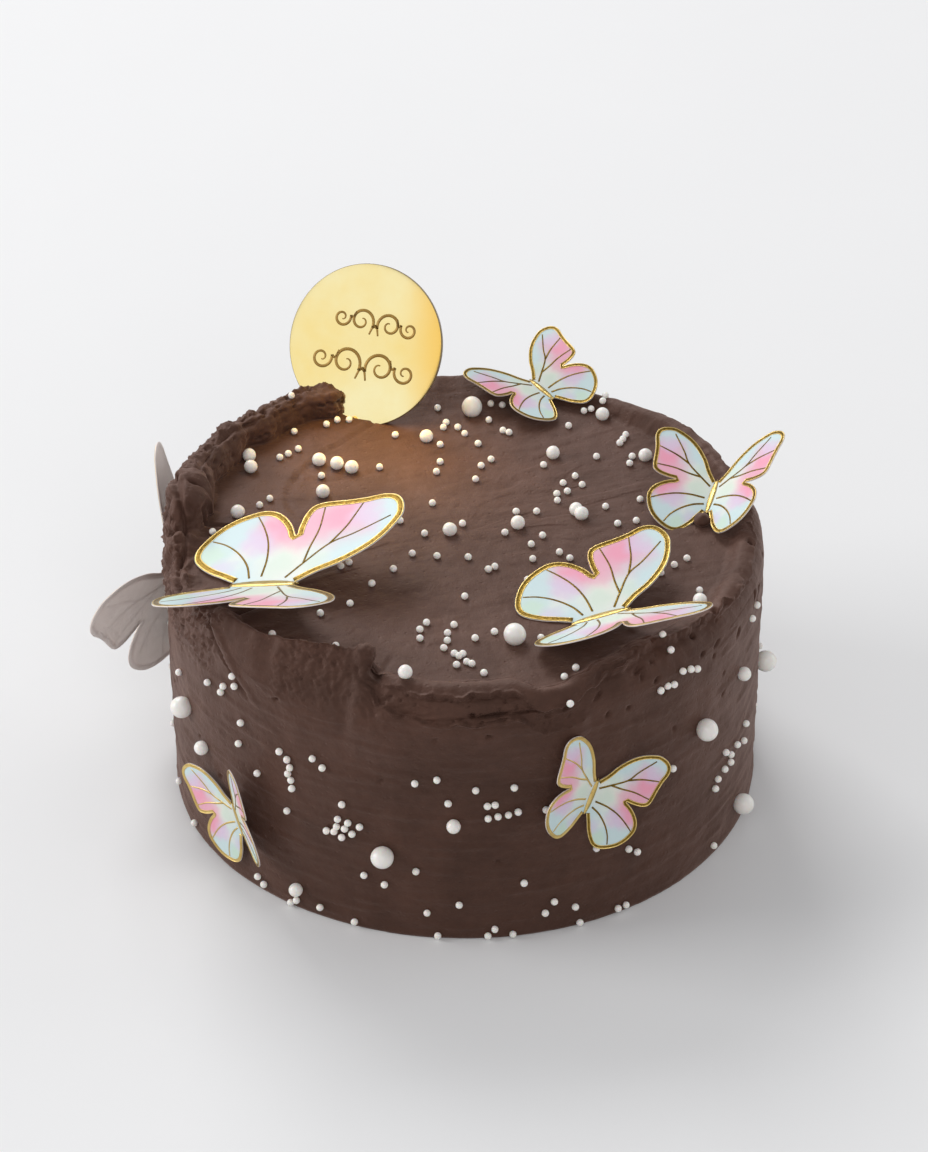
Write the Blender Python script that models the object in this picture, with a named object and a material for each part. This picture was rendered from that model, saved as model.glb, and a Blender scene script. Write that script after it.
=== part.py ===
"""A round celebration cake under chocolate icing, with a round mirror topper pressed into the top,
seven folded paper butterflies and a scatter of sugar pearls in three sizes.

Metres, +Z up. The origin is the centre of the flat base. The front is towards -Y.
"""
import math
import random

import bmesh
import bpy
from mathutils import Matrix, Vector
from mathutils.bvhtree import BVHTree

MM = 0.001

CAKE_RADIUS = 95.0          # 190 mm across
TOP_LEVEL = 89.0            # height of the spread top, inside its rim
COLUMNS = 60                # sectors round the cake

DISC_DIAMETER = 54.0
DISC_THICKNESS = 1.5
DISC_CENTRE = (-32.8, 80.6, 109.7)
DISC_TURN = -22.6           # degrees the disc is turned about +Z, so that it faces front and a little left
DISC_LEAN = 31.0            # degrees it leans back

PAPER = 0.5                 # card thickness
CLEARANCE = 0.3             # gap left between touching pieces

SMALL, MEDIUM, LARGE = 1.15, 2.25, 3.5      # pearl radii
SUNK = 0.30                 # part of a pearl's radius that is pressed into the icing


# The rim. The icing was pushed up past the edge with a palette knife: a ribbon that stands on the
# left and at the back left, low on the left front, a torn ridge that leans in after it, then a
# low lip along the front. Each line is (turn about +Z in degrees from +X, millimetres).

RIM_CREST = (  # height of the crest
    (0, 92), (15, 92.5), (30, 93.5), (46, 93), (60, 92), (74, 92), (90, 92.5), (104, 92), (116, 93.5),
    (121, 96), (131, 97), (149, 98.5), (160, 99), (168, 100.5), (176, 98), (183, 90), (188, 86), (192, 85.5),
    (202, 85.5), (209, 88.5), (216, 95), (230, 95), (242, 96), (249, 96.5), (254, 91.5),
    (262, 90.5), (280, 90.3),
    (288, 89.5), (294, 90), (306, 90.8), (323, 90.3), (340, 91),
)
RIM_INSET = (  # how far inside the wall the crest runs
    (0, 6), (116, 6), (122, 8), (128, 6), (160, 6), (180, 5), (200, 5), (214, 4), (218, 3.5), (225, 4.5),
    (231, 6.5), (236, 9), (241, 11), (250, 12.5), (257, 8.5), (263, 8.7), (279, 9), (285, 3), (289, 3),
    (293, 5.5), (298, 8), (309, 10), (315, 8.5), (322, 8), (329, 5.5), (340, 6),
)
RIM_DROP = (  # how far below its crest the rim starts to round over
    (0, 9), (216, 9), (221, 10), (226, 13), (232, 18), (238, 22), (247, 22), (256, 14), (262, 11),
    (275, 10), (300, 9),
)
RIM_SHELF = (  # how far the crest runs on inwards at its full height
    (0, 0), (112, 0), (118, 3), (122, 4), (128, 1), (150, 0.6), (162, 1), (168, 2.5), (174, 2), (182, 0),
)
RIM_WIDTH = (  # where the rim has come down to the spread top, inwards from the crest
    (0, 6), (60, 7), (78, 9), (87, 15), (103, 15), (112, 8), (118, 6), (122, 5.5), (128, 3), (150, 2.2),
    (160, 2.4), (168, 4.5), (174, 4), (180, 5), (186, 13), (204, 14), (210, 9), (214, 7), (222, 6),
    (241, 4), (250, 4), (256, 5), (300, 6),
)


def round_the_rim(knots, turn):
    """A value that runs smoothly from knot to knot round the cake."""
    turn %= 360
    for here, after in zip(knots, knots[1:] + ((knots[0][0] + 360, knots[0][1]),)):
        if here[0] <= turn < after[0]:
            part = (turn - here[0]) / (after[0] - here[0])
            part = part * part * (3 - 2 * part)
            return here[1] + part * (after[1] - here[1])
    return knots[0][1]


def icing_profile(turn):
    """The icing's section at one turn, as (distance from the axis, height), from the base edge inwards."""
    crest, inset = round_the_rim(RIM_CREST, turn), round_the_rim(RIM_INSET, turn)
    drop, shelf = round_the_rim(RIM_DROP, turn), round_the_rim(RIM_SHELF, turn)
    width = round_the_rim(RIM_WIDTH, turn) - shelf
    shoulder, inner = crest - drop, CAKE_RADIUS - inset
    points = [(CAKE_RADIUS, shoulder * part) for part in (0.0, 0.2, 0.4, 0.6, 0.8, 1.0)]
    for degrees in (25, 50, 72, 90):
        angle = math.radians(degrees)
        points.append((inner + inset * math.cos(angle), shoulder + drop * math.sin(angle)))
    for part in (0.15, 0.5, 0.85, 1.0):
        fall = part * part * (3 - 2 * part)
        points.append((inner - shelf - width * part, crest + (TOP_LEVEL - crest) * fall))
    for distance in (60.0, 40.0, 20.0):
        points.append((distance, TOP_LEVEL))
    return points


# The butterflies. One wing pair is cut from one piece of card and folded along the body. Sizes are in body
# lengths: the first number runs along the body from tail (0) to head (1), the second away from it.

WING_OUTLINE = (
    (1.27, 0.24), (1.62, 0.45), (1.94, 0.71), (2.15, 1.00), (2.26, 1.30), (2.27, 1.54), (2.17, 1.76),
    (1.98, 1.87), (1.60, 1.80), (1.20, 1.74), (0.90, 1.69), (0.76, 1.60), (0.69, 1.38), (0.69, 1.02),
    (0.57, 1.24), (0.38, 1.43), (0.12, 1.56), (-0.18, 1.55), (-0.45, 1.43), (-0.70, 1.19),
    (-0.86, 0.88), (-0.87, 0.62), (-0.72, 0.42), (-0.40, 0.24),
)

BUTTERFLIES = {  # name: middle of the body, body direction, the two wings' directions, body length
    "butterfly_large_left": (
        (-62.2, -36.0, 92.2), (0.91, -0.33, 0.26),
        (0.28, 0.93, 0.22), (-0.36, -0.86, 0.30), 21.3),
    "butterfly_large_right": (
        (41.7, -51.5, 91.0), (0.96, 0.25, 0.15),
        (-0.28, 0.94, 0.19), (0.17, -0.90, 0.41), 16.9),
    "butterfly_back_right": (
        (79.3, 13.9, 92.5), (0.29, 0.91, 0.30),
        (-0.95, 0.23, 0.20), (0.74, -0.41, 0.53), 12.7),
    "butterfly_back": (
        (25.8, 80.6, 92.2), (-0.63, 0.76, 0.16),
        (0.75, 0.55, 0.36), (-0.75, -0.65, 0.14), 11.1),
    "butterfly_front_right": (
        (38.4, -88.1, 50.1), (0.36, 0.33, 0.87),
        (0.93, -0.05, -0.37), (-0.68, -0.54, 0.49), 10.7),
    "butterfly_front_left": (
        (-70.9, -65.2, 24.0), (-0.30, 0.36, 0.88),
        (-0.67, 0.58, -0.46), (0.27, -0.86, 0.44), 10.7),
    "butterfly_left_wall": (
        (-93.4, 23.0, 54.0), (-0.17, -0.51, 0.85),
        (-0.57, -0.65, -0.50), (-0.01, 0.86, 0.51), 19.5),
}


# Where the pearls lie.

LARGE_TOP = ((88, 71), (-76, 63))                                   # turn, distance from the axis
LARGE_WALL = ((-105, 31), (-157, 47), (-40, 57), (-23, 9), (-5, 44), (38, 22), (74, 61), (112, 14), (141, 72))
MEDIUM_TOP = (
    (149, 82), (153, 78), (140, 62), (138, 56), (136, 51), (156, 50), (173, 73), (103, 56), (57, 53),
    (-159, 5), (6, 17), (15, 37), (11, 38), (56, 82), (36, 73), (-30, 84), (-102, 86),
)
MEDIUM_WALL = ((-149, 40), (-123, 8), (-92, 45), (-25, 62), (22, 70), (58, 34), (96, 44), (124, 55), (160, 9))
TOP_GROUPS = (  # turn, distance, how many, heading of the group in degrees from +X, its length and breadth
    (142, 73, 3, 223, 8, 1), (123, 77, 3, 27, 8, 3), (96, 63, 2, 255, 3, 0), (91, 59, 2, 119, 5, 0),
    (103, 38, 2, 79, 6, 0), (166, 66, 2, 51, 5, 0), (-133, 32, 3, 56, 21, 4), (-151, 43, 2, 42, 3, 0),
    (-118, 79, 2, 51, 2.4, 0), (-103, 58, 3, 79, 9, 2), (-95, 60, 4, 79, 13, 3), (-91, 71, 5, 99, 7, 4),
    (82, 76, 2, -12, 4, 0), (77, 60, 2, -34, 2.4, 0), (80, 40, 2, 48, 5, 0), (59, 86, 5, 37, 8, 5),
    (46, 75, 3, 67, 5, 0), (37, 68, 2, 78, 5, 0), (36, 41, 6, 54, 16, 6), (-32, 25, 2, 92, 8, 0),
    (-26, 35, 2, -45, 5, 0), (-69, 24, 2, 36, 2.4, 0), (4, 52, 2, 17, 6, 0), (-18, 69, 3, 45, 12, 1),
    (-87, 77, 2, -54, 6, 0), (-68, 85, 2, 55, 6, 0), (-47, 90, 2, 133, 3, 0),
)
WALL_GROUPS = (  # turn, height, how many, heading of the group up from level, its length and breadth
    (-139, 73, 4, 60, 13, 4), (-125, 53, 6, -76, 13, 5), (-118, 60, 2, -34, 4, 0), (-113, 38, 9, -6, 10, 8),
    (-124, 2, 2, 44, 3, 0), (-132, 4, 2, -32, 3, 0), (-85, 52, 2, 7, 2.4, 0), (-83, 48, 4, 15, 9, 1),
    (-74, 10, 2, 53, 5, 0), (-59, 2, 2, 2, 3, 0), (-85, 2, 2, 60, 4, 0), (-57, 23, 2, -38, 4, 0),
    (-31, 31, 6, 52, 11, 8), (-24, 34, 2, -26, 8, 0), (-44, 82, 3, -17, 7, 1), (-50, 80, 3, 1, 5, 1),
    (-19, 79, 2, 13, 6, 0), (12, 40, 5, 60, 12, 5), (31, 63, 3, -30, 7, 1), (49, 12, 4, 20, 9, 3),
    (66, 45, 6, 80, 13, 5), (88, 70, 3, 15, 8, 2), (104, 26, 7, -40, 11, 7), (133, 33, 3, 50, 8, 1),
    (151, 18, 4, -15, 9, 3), (178, 11, 2, 30, 4, 0),
)
TOP_SINGLES = (
    (130, 89), (134, 81), (112, 61), (97, 74), (99, 51), (127, 46), (146, 56), (181, 80),
    (125, 18), (168, 21),
    (103, 3), (-168, 13), (-119, 18), (-86, 16), (-130, 55), (-133, 65), (-90, 38), (-135, 83), (-121, 76),
    (83, 66), (85, 51), (83, 29), (61, 71), (45, 61), (56, 46), (16, 47), (30, 19), (23, 25), (-11, 13),
    (-9, 25), (-56, 35), (17, 59), (-26, 81), (-81, 58), (-87, 61), (-69, 65),
)
WALL_SINGLES = (
    (-160, 57), (-146, 68), (-136, 62), (-137, 53), (-132, 46), (-125, 37), (-113, 47), (-99, 60), (-95, 62),
    (-93, 53), (-109, 21), (-105, 19), (-99, 26), (-97, 10), (-91, 14), (-111, 2), (-95, 1), (-118, 4),
    (-155, 3), (-165, 8), (-88, 58), (-81, 58), (-79, 21), (-69, 8), (-68, 1), (-81, 1), (-34, 4), (-48, 48),
    (-65, 29), (-75, 48), (-21, 38), (-71, 87),
)
HIDDEN_SINGLES = 40         # more of them on the half of the wall that faces away
KEPT_SMALL = 2              # the solid holds every second small pearl


def spot_apart(draw, taken, low, high, tries=14):
    """The one of several random spots that lies farthest from the spots already taken."""
    best, best_gap = None, -1.0
    for _ in range(tries):
        spot = (draw.uniform(low[0], high[0]), draw.uniform(low[1], high[1]))
        gap = min((math.dist(spot, other) for other in taken), default=1.0)
        if gap > best_gap:
            best, best_gap = spot, gap
    return best


def loose_group(draw, start, count, heading, length, breadth):
    """Spots that lie apart in a short row, or in a heap where the group is nearly as broad as long."""
    heading, spots, tries = math.radians(heading), [], 0
    ahead = Vector((math.cos(heading), math.sin(heading)))
    across = Vector((-ahead.y, ahead.x))
    while len(spots) < count:
        part = (len(spots) + 0.5) / count - 0.5 if breadth < 0.5 * length else draw.uniform(-0.5, 0.5)
        step = part * length * count / max(count - 1, 1) + draw.uniform(-0.3, 0.3)
        spot = start + ahead * step + across * draw.uniform(-0.5, 0.5) * breadth
        tries += 1
        if tries > 40 or all((spot - other).length > 2 * SMALL + 0.02 for other in spots):
            spots.append(spot)
    return [tuple(spot) for spot in spots]


def small_pearl_spots():
    """Flat spots on the top as (x, y), and on the wall as (arc length round the cake, height)."""
    draw = random.Random(11)
    top = [(far * math.cos(math.radians(at)), far * math.sin(math.radians(at))) for at, far in TOP_SINGLES]
    wall = [(math.radians(at) * CAKE_RADIUS, up) for at, up in WALL_SINGLES]
    for at, far, *group in TOP_GROUPS:
        start = Vector((far * math.cos(math.radians(at)), far * math.sin(math.radians(at))))
        top += loose_group(draw, start, *group)
    for at, up, *group in WALL_GROUPS:
        wall += loose_group(draw, Vector((math.radians(at) * CAKE_RADIUS, up)), *group)
    for _ in range(HIDDEN_SINGLES):
        wall.append(spot_apart(draw, wall, (0, 1.5), (math.pi * CAKE_RADIUS, 80)))
    return top, wall


def material(name, colour, roughness, metallic=0.0):
    made = bpy.data.materials.new(name)
    made.use_nodes = True
    shader = made.node_tree.nodes["Principled BSDF"]
    shader.inputs["Base Color"].default_value = (*colour, 1.0)
    shader.inputs["Roughness"].default_value = roughness
    shader.inputs["Metallic"].default_value = metallic
    made.diffuse_color = (*colour, 1.0)
    return made


def new_object(name, mesh, finish, collection=None):
    obj = bpy.data.objects.new(name, mesh)
    if finish:
        mesh.materials.append(finish)
    (collection or bpy.context.scene.collection).objects.link(obj)
    return obj


def mesh_from(name, points, faces):
    mesh = bpy.data.meshes.new(name)
    mesh.from_pydata([Vector(point) * MM for point in points], [], faces)
    work = bmesh.new()
    work.from_mesh(mesh)
    bmesh.ops.triangulate(work, faces=[face for face in work.faces if len(face.verts) > 3])
    bmesh.ops.recalc_face_normals(work, faces=work.faces)
    work.to_mesh(mesh)
    work.free()
    return mesh


def icing_mesh():
    sections = [icing_profile(360 * column / COLUMNS) for column in range(COLUMNS)]
    points, faces, rings = [], [], len(sections[0])
    for column, section in enumerate(sections):
        angle = 2 * math.pi * column / COLUMNS
        points += [(r * math.cos(angle), r * math.sin(angle), z) for r, z in section]
    for column in range(COLUMNS):
        here, after = column * rings, (column + 1) % COLUMNS * rings
        for ring in range(rings - 1):
            faces.append((here + ring, after + ring, after + ring + 1, here + ring + 1))
    centre = len(points)
    points.append((0, 0, TOP_LEVEL))
    for column in range(COLUMNS):
        faces.append((column * rings + rings - 1, (column + 1) % COLUMNS * rings + rings - 1, centre))
    faces.append(tuple(column * rings for column in reversed(range(COLUMNS))))
    return mesh_from("icing", points, faces)


def wing_frame(where, along, wing_a, wing_b, length):
    """The fold's middle, its direction, and both wings' directions square to it."""
    along = Vector(along).normalized()
    sides = []
    for wing in (Vector(wing_a), Vector(wing_b)):
        sides.append((wing - along * wing.dot(along)).normalized())
    return Vector(where), along, sides, length


def outline_grown(by):
    """The wing's outline moved outwards by a distance given in body lengths."""
    points = [Vector(point) for point in WING_OUTLINE]
    whole = [Vector((1.0 + by, 0.0))] + points + [Vector((-by, 0.0))]
    grown = []
    for before, point, after in zip(whole, points, whole[2:]):
        edge = (after - before).normalized()
        grown.append(point + Vector((edge.y, -edge.x)) * by)
    return grown


def butterfly_mesh(name, pose, grow=0.0):
    """Two flat wings that share the fold, given the card's thickness. grow makes it larger all round."""
    middle, along, sides, length = wing_frame(*pose)
    by = grow / length
    outline = outline_grown(by)
    points = [middle + along * length * (-0.5 - by), middle + along * length * (0.5 + by)]
    faces = []
    for index, side in enumerate(sides):
        first = len(points)
        points += [middle + along * length * (u - 0.5) + side * length * v for u, v in outline]
        ring = [0, 1] + list(range(first, first + len(outline)))
        faces.append(tuple(ring if index == 0 else reversed(ring)))
    sheet = mesh_from(name + "_sheet", points, faces)
    guide = new_object(name + "_sheet", sheet, None)
    thick = guide.modifiers.new("card", "SOLIDIFY")
    thick.thickness, thick.offset = (PAPER + 2 * grow) * MM, 0.0
    thick.use_even_offset = True
    solid = applied(guide)
    bpy.data.objects.remove(guide)
    solid.name = name
    return solid


def applied(obj):
    bpy.context.view_layer.update()
    evaluated = obj.evaluated_get(bpy.context.evaluated_depsgraph_get())
    return bpy.data.meshes.new_from_object(evaluated)


def disc_matrix():
    turn = Matrix.Rotation(math.radians(DISC_TURN), 4, "Z")
    lean = Matrix.Rotation(math.radians(90 - DISC_LEAN), 4, "X")
    return Matrix.Translation(Vector(DISC_CENTRE) * MM) @ turn @ lean


def disc_mesh(name, grow=0.0):
    mesh = bpy.data.meshes.new(name)
    work = bmesh.new()
    radius = (DISC_DIAMETER / 2 + grow) * MM
    bmesh.ops.create_cone(work, cap_ends=True, segments=72, radius1=radius, radius2=radius,
                          depth=(DISC_THICKNESS + 2 * grow) * MM)
    work.to_mesh(mesh)
    work.free()
    return mesh


def pearl_mesh(name, radius):
    mesh = bpy.data.meshes.new(name)
    work = bmesh.new()
    if radius == SMALL:
        bmesh.ops.create_icosphere(work, subdivisions=1, radius=radius * MM * 1.05)
    elif radius == MEDIUM:
        bmesh.ops.create_uvsphere(work, u_segments=8, v_segments=5, radius=radius * MM * 1.03)
    else:
        bmesh.ops.create_uvsphere(work, u_segments=12, v_segments=7, radius=radius * MM)
    bmesh.ops.triangulate(work, faces=work.faces)
    work.to_mesh(mesh)
    work.free()
    return mesh


def tree_of(mesh):
    corners = [vertex.co.copy() for vertex in mesh.vertices]
    return BVHTree.FromPolygons(corners, [tuple(face.vertices) for face in mesh.polygons])


def pearl_places(icing):
    """Every pearl as (centre, outward direction, radius), the largest first, resting on the icing."""
    surface = tree_of(icing)

    def on_top(x, y, radius):
        hit, normal, _, _ = surface.ray_cast(Vector((x, y, 140)) * MM, Vector((0, 0, -1)))
        return (hit + normal * radius * (1 - SUNK) * MM, normal, radius) if hit else None

    def on_wall(arc, height, radius):
        angle = arc / CAKE_RADIUS
        out = Vector((math.cos(angle), math.sin(angle), 0))
        height = max(height, radius + 0.1)
        hit, normal, _, _ = surface.ray_cast((out * 130 + Vector((0, 0, height))) * MM, -out)
        return (hit + normal * radius * (1 - SUNK) * MM, normal, radius) if hit else None

    places = []
    for spots, radius in ((LARGE_TOP, LARGE), (MEDIUM_TOP, MEDIUM)):
        for turn, distance in spots:
            angle = math.radians(turn)
            places.append(on_top(distance * math.cos(angle), distance * math.sin(angle), radius))
    for spots, radius in ((LARGE_WALL, LARGE), (MEDIUM_WALL, MEDIUM)):
        for turn, height in spots:
            places.append(on_wall(math.radians(turn) * CAKE_RADIUS, height, radius))
    top, wall = small_pearl_spots()
    small = [on_top(x, y, SMALL) for x, y in top] + [on_wall(arc, height, SMALL) for arc, height in wall]
    places += small[::KEPT_SMALL]
    return sorted((place for place in places if place), key=lambda place: -place[2])


def clear_of(trees, centre, room):
    return all((tree.find_nearest(centre)[3] or 1.0) > room for tree in trees)


def take_result(obj):
    """Gives an object the mesh that its modifiers make, and removes them."""
    joined = applied(obj)
    obj.modifiers.clear()
    old, obj.data = obj.data, joined
    bpy.data.meshes.remove(old)


def join_all(obj, collection):
    """One union of an object with everything in a collection, which is then removed."""
    union = obj.modifiers.new("union", "BOOLEAN")
    union.operation, union.operand_type, union.collection = "UNION", "COLLECTION", collection
    union.solver = "EXACT"
    take_result(obj)
    for member in list(collection.objects):
        bpy.data.objects.remove(member)
    bpy.data.collections.remove(collection)


def cut_slot(obj, cutter):
    """Cuts one slot and removes its cutter."""
    cut = obj.modifiers.new("slot", "BOOLEAN")
    cut.operation, cut.object, cut.solver = "DIFFERENCE", cutter, "EXACT"
    take_result(obj)
    bpy.data.objects.remove(cutter)


def drop_scraps(mesh):
    """Keeps the one large body and drops crumbs that a slot cut loose."""
    work = bmesh.new()
    work.from_mesh(mesh)
    work.faces.ensure_lookup_table()
    left, bodies = set(work.faces), []
    while left:
        body, edge_of_body = set(), [left.pop()]
        while edge_of_body:
            face = edge_of_body.pop()
            body.add(face)
            for edge in face.edges:
                for other in edge.link_faces:
                    if other in left:
                        left.discard(other)
                        edge_of_body.append(other)
        bodies.append(body)
    bodies.sort(key=len)
    crumbs = [face for body in bodies[:-1] for face in body]
    print("crumbs dropped, in faces:", [len(body) for body in bodies[:-1]])
    bmesh.ops.delete(work, geom=crumbs, context="FACES")
    work.to_mesh(mesh)
    work.free()


def build():
    for obj in list(bpy.data.objects):
        bpy.data.objects.remove(obj)

    chocolate = material("chocolate icing", (0.075, 0.037, 0.028), 0.62)
    mirror = material("gold mirror acrylic", (0.90, 0.66, 0.25), 0.12, 1.0)
    card = material("printed card", (0.80, 0.66, 0.74), 0.55)

    cake = new_object("cake", icing_mesh(), chocolate)

    butterfly_meshes = {name: butterfly_mesh(name, pose) for name, pose in BUTTERFLIES.items()}
    disc = new_object("topper_disc", disc_mesh("topper_disc"), mirror)
    disc.matrix_world = disc_matrix()
    disc_tree = tree_of(disc.data)
    to_disc = disc_matrix().inverted()
    wings = [tree_of(mesh) for mesh in butterfly_meshes.values()]

    pearls = bpy.data.collections.new("pearls")
    bpy.context.scene.collection.children.link(pearls)
    shapes = {radius: pearl_mesh("pearl", radius) for radius in (SMALL, MEDIUM, LARGE)}
    count, draw = {SMALL: 0, MEDIUM: 0, LARGE: 0}, random.Random(5)
    for centre, normal, radius in pearl_places(cake.data):
        room = (radius * 1.05 + CLEARANCE + 0.35) * MM
        if not clear_of(wings, centre, room) or not clear_of([disc_tree], to_disc @ centre, room):
            continue
        pearl = new_object("pearl", shapes[radius], None, pearls)
        spin = Matrix.Rotation(draw.uniform(0, 6.28), 4, normal)
        pearl.matrix_world = Matrix.Translation(centre) @ spin
        count[radius] += 1
    # a blob of icing holds the tail of the butterfly at the right
    dab = new_object("dab", pearl_mesh("dab", LARGE), None, pearls)
    dab.matrix_world = Matrix.Translation(Vector((75.6, 3.4, 90.8)) * MM) @ Matrix.Scale(0.74, 4)
    join_all(cake, pearls)

    for name, pose in BUTTERFLIES.items():
        cut_slot(cake, new_object(name + "_slot", butterfly_mesh(name + "_slot", pose, CLEARANCE), None))
    slot = new_object("disc_slot", disc_mesh("disc_slot", CLEARANCE), None)
    slot.matrix_world = disc_matrix()
    cut_slot(cake, slot)
    drop_scraps(cake.data)
    cake.data.shade_smooth()
    cake.data.set_sharp_from_angle(angle=math.radians(35))

    for name, mesh in butterfly_meshes.items():
        new_object(name, mesh, card)
    disc.data.shade_smooth()
    disc.data.set_sharp_from_angle(angle=math.radians(35))
    print("pearls fused:", {f"{2 * radius:.1f} mm": number for radius, number in count.items()},
          "triangles in the cake:", sum(len(face.vertices) - 2 for face in cake.data.polygons))


build()
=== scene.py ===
# %% [markdown]
# # A chocolate celebration cake
# One round cake stands under dark chocolate icing that was spread by hand with a palette knife.
# Sugar pearls in three sizes are scattered over it, seven folded card butterflies sit on it, and a
# round gold mirror disc is pushed into its top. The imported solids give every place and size, so
# this lesson starts by loading them, and each finer piece then goes where its solid says.

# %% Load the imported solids
import math
import random

import bmesh
import bpy
import numpy as np
from mathutils import Matrix, Vector
from mathutils.bvhtree import BVHTree
from mathutils.geometry import delaunay_2d_cdt


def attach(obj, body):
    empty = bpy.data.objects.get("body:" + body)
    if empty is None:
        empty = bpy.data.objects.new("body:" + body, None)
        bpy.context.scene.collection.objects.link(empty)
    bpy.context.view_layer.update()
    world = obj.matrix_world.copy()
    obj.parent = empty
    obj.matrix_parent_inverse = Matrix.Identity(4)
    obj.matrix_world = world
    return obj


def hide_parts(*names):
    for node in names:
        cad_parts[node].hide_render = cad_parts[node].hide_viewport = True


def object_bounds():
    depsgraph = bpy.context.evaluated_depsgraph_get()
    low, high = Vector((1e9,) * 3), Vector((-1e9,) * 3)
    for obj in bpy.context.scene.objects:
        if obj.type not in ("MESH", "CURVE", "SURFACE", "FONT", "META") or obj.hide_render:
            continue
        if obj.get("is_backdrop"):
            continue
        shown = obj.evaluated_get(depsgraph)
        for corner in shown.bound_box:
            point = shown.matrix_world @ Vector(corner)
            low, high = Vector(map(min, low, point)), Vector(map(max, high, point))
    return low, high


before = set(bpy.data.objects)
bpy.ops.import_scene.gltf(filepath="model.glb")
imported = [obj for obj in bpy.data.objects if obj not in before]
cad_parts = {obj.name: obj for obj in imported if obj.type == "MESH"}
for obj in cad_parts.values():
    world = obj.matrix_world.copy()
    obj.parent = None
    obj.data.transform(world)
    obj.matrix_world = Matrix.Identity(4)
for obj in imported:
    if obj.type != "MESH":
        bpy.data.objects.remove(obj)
cad_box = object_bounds()
MM = 0.001
print("solids:", sorted(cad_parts))
print("box in mm:", [[round(c / MM, 1) for c in corner] for corner in cad_box])

# %% [markdown]
# ## The camera
# The picture was taken with a long lens from above the front edge, 34 degrees down. A long lens
# keeps the cake's wall nearly parallel, so the focal length matters as much as the angle. The
# camera is set by its place and one turn about X, with no shift and no depth of field.

# %% Camera
CAMERA_PLACE = (-0.2, -1021.5, 760.5)
CAMERA_PITCH = 34.0
FOCAL_LENGTH = 120.2

scene = bpy.context.scene
camera = bpy.data.objects.new("camera", bpy.data.cameras.new("camera"))
camera.data.lens = FOCAL_LENGTH
camera.data.sensor_width = 36.0
camera.data.clip_start, camera.data.clip_end = 0.05, 20.0
camera.location = Vector(CAMERA_PLACE) * MM
camera.rotation_euler = (math.radians(90 - CAMERA_PITCH), 0, 0)
scene.collection.objects.link(camera)
scene.camera = camera
print("camera", tuple(round(c, 3) for c in camera.location), "lens", camera.data.lens)

# %% [markdown]
# ## Floor and light
# The picture is a bright white one: a white floor runs out of view behind the cake, and wide soft
# boxes fill the room, the strongest of them behind and beside its left shoulder. Area lamps of two
# or three metres give the same soft shadows, which fall to the right and to the front. The plain
# colour transform keeps the whites white.
#
# A mirror shows what stands before it, so the disc gets a bright card of its own, and light linking
# keeps that card's light off everything else. The disc in turn throws a warm patch on the icing at
# its foot. Traced light finds such a patch slowly and with much noise, so one very small warm lamp
# stands for it, and lights the icing and the pearls alone.

# %% Lamps and sky
scene.view_settings.view_transform = "Standard"
CAKE_MIDDLE = (0, 0, 0.05)
DISC_CENTRE = (-32.8, 80.6, 109.7)
disc_middle = Vector(DISC_CENTRE) * MM

sky = bpy.data.worlds.new("studio")
sky.use_nodes = True
sky_light = sky.node_tree.nodes["Background"]
sky_light.inputs["Color"].default_value = (0.98, 0.985, 1.0, 1)
sky_light.inputs["Strength"].default_value = 0.42
scene.world = sky
mirrors = bpy.data.collections.new("mirrors")
near_disc = bpy.data.collections.new("near_disc")


def soft_box(name, place, aim, size, power, only_for=None):
    """A square area lamp that looks at a point, in metres. It may light only one collection."""
    lamp = bpy.data.lights.new(name, "AREA")
    lamp.size, lamp.energy = size, power
    holder = bpy.data.objects.new(name, lamp)
    holder.location = place
    holder.rotation_euler = (Vector(aim) - Vector(place)).to_track_quat("-Z", "Y").to_euler()
    if only_for:
        holder.light_linking.receiver_collection = only_for
    scene.collection.objects.link(holder)
    return holder


soft_box("key_behind", (-1.5, 3.4, 3.3), CAKE_MIDDLE, 2.4, 110)
soft_box("left_box", (-4.8, 0.2, 2.0), CAKE_MIDDLE, 2.6, 112)
soft_box("right_box", (4.8, 1.8, 1.6), CAKE_MIDDLE, 2.4, 34)
soft_box("front_box", (0.6, -4.2, 3.2), CAKE_MIDDLE, 3.0, 50)
soft_box("disc_card", (-1.75, -1.55, 1.30), disc_middle, 1.5, 3.9, mirrors)
BOUNCE_PLACE, BOUNCE_AIM = (-0.028, 0.062, 0.127), (-0.027, 0.043, 0.089)
gold_bounce = soft_box("gold_bounce", BOUNCE_PLACE, BOUNCE_AIM, 0.04, 0.022, near_disc)
gold_bounce.data.color = (1.0, 0.64, 0.10)
gold_bounce.data.spread = math.radians(110)
gold_bounce.visible_camera = gold_bounce.visible_glossy = False
print("lamps:", sorted(lamp.name for lamp in bpy.data.lights))

# %% [markdown]
# ## Node groups that several finishes share
# Food is never one flat colour, and card, sugar and icing all have a fine grain. Two small node
# groups do that work for every material here. `uneven_tone` mixes two colours by soft blotches and
# `fine_grain` gives a height for a Bump node. Each takes its size as an input, so that icing and
# pearls can use the same group at their own scale.

# %% Node helpers
def new_group(name, inputs, outputs):
    """An empty node group with named sockets. Each input is (name, kind, start value)."""
    group = bpy.data.node_groups.new(name, "ShaderNodeTree")
    for label, kind, start in inputs:
        socket = group.interface.new_socket(name=label, in_out="INPUT", socket_type="NodeSocket" + kind)
        if start is not None:
            socket.default_value = start
    for label, kind in outputs:
        group.interface.new_socket(name=label, in_out="OUTPUT", socket_type="NodeSocket" + kind)
    return group, group.nodes.new("NodeGroupInput"), group.nodes.new("NodeGroupOutput")


def fill(tree, node, inputs):
    """Sets a node's inputs, or links them where the value is another node's socket."""
    for label, value in inputs.items():
        if isinstance(value, bpy.types.NodeSocket):
            tree.links.new(value, node.inputs[label])
        else:
            node.inputs[label].default_value = value
    return node


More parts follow.
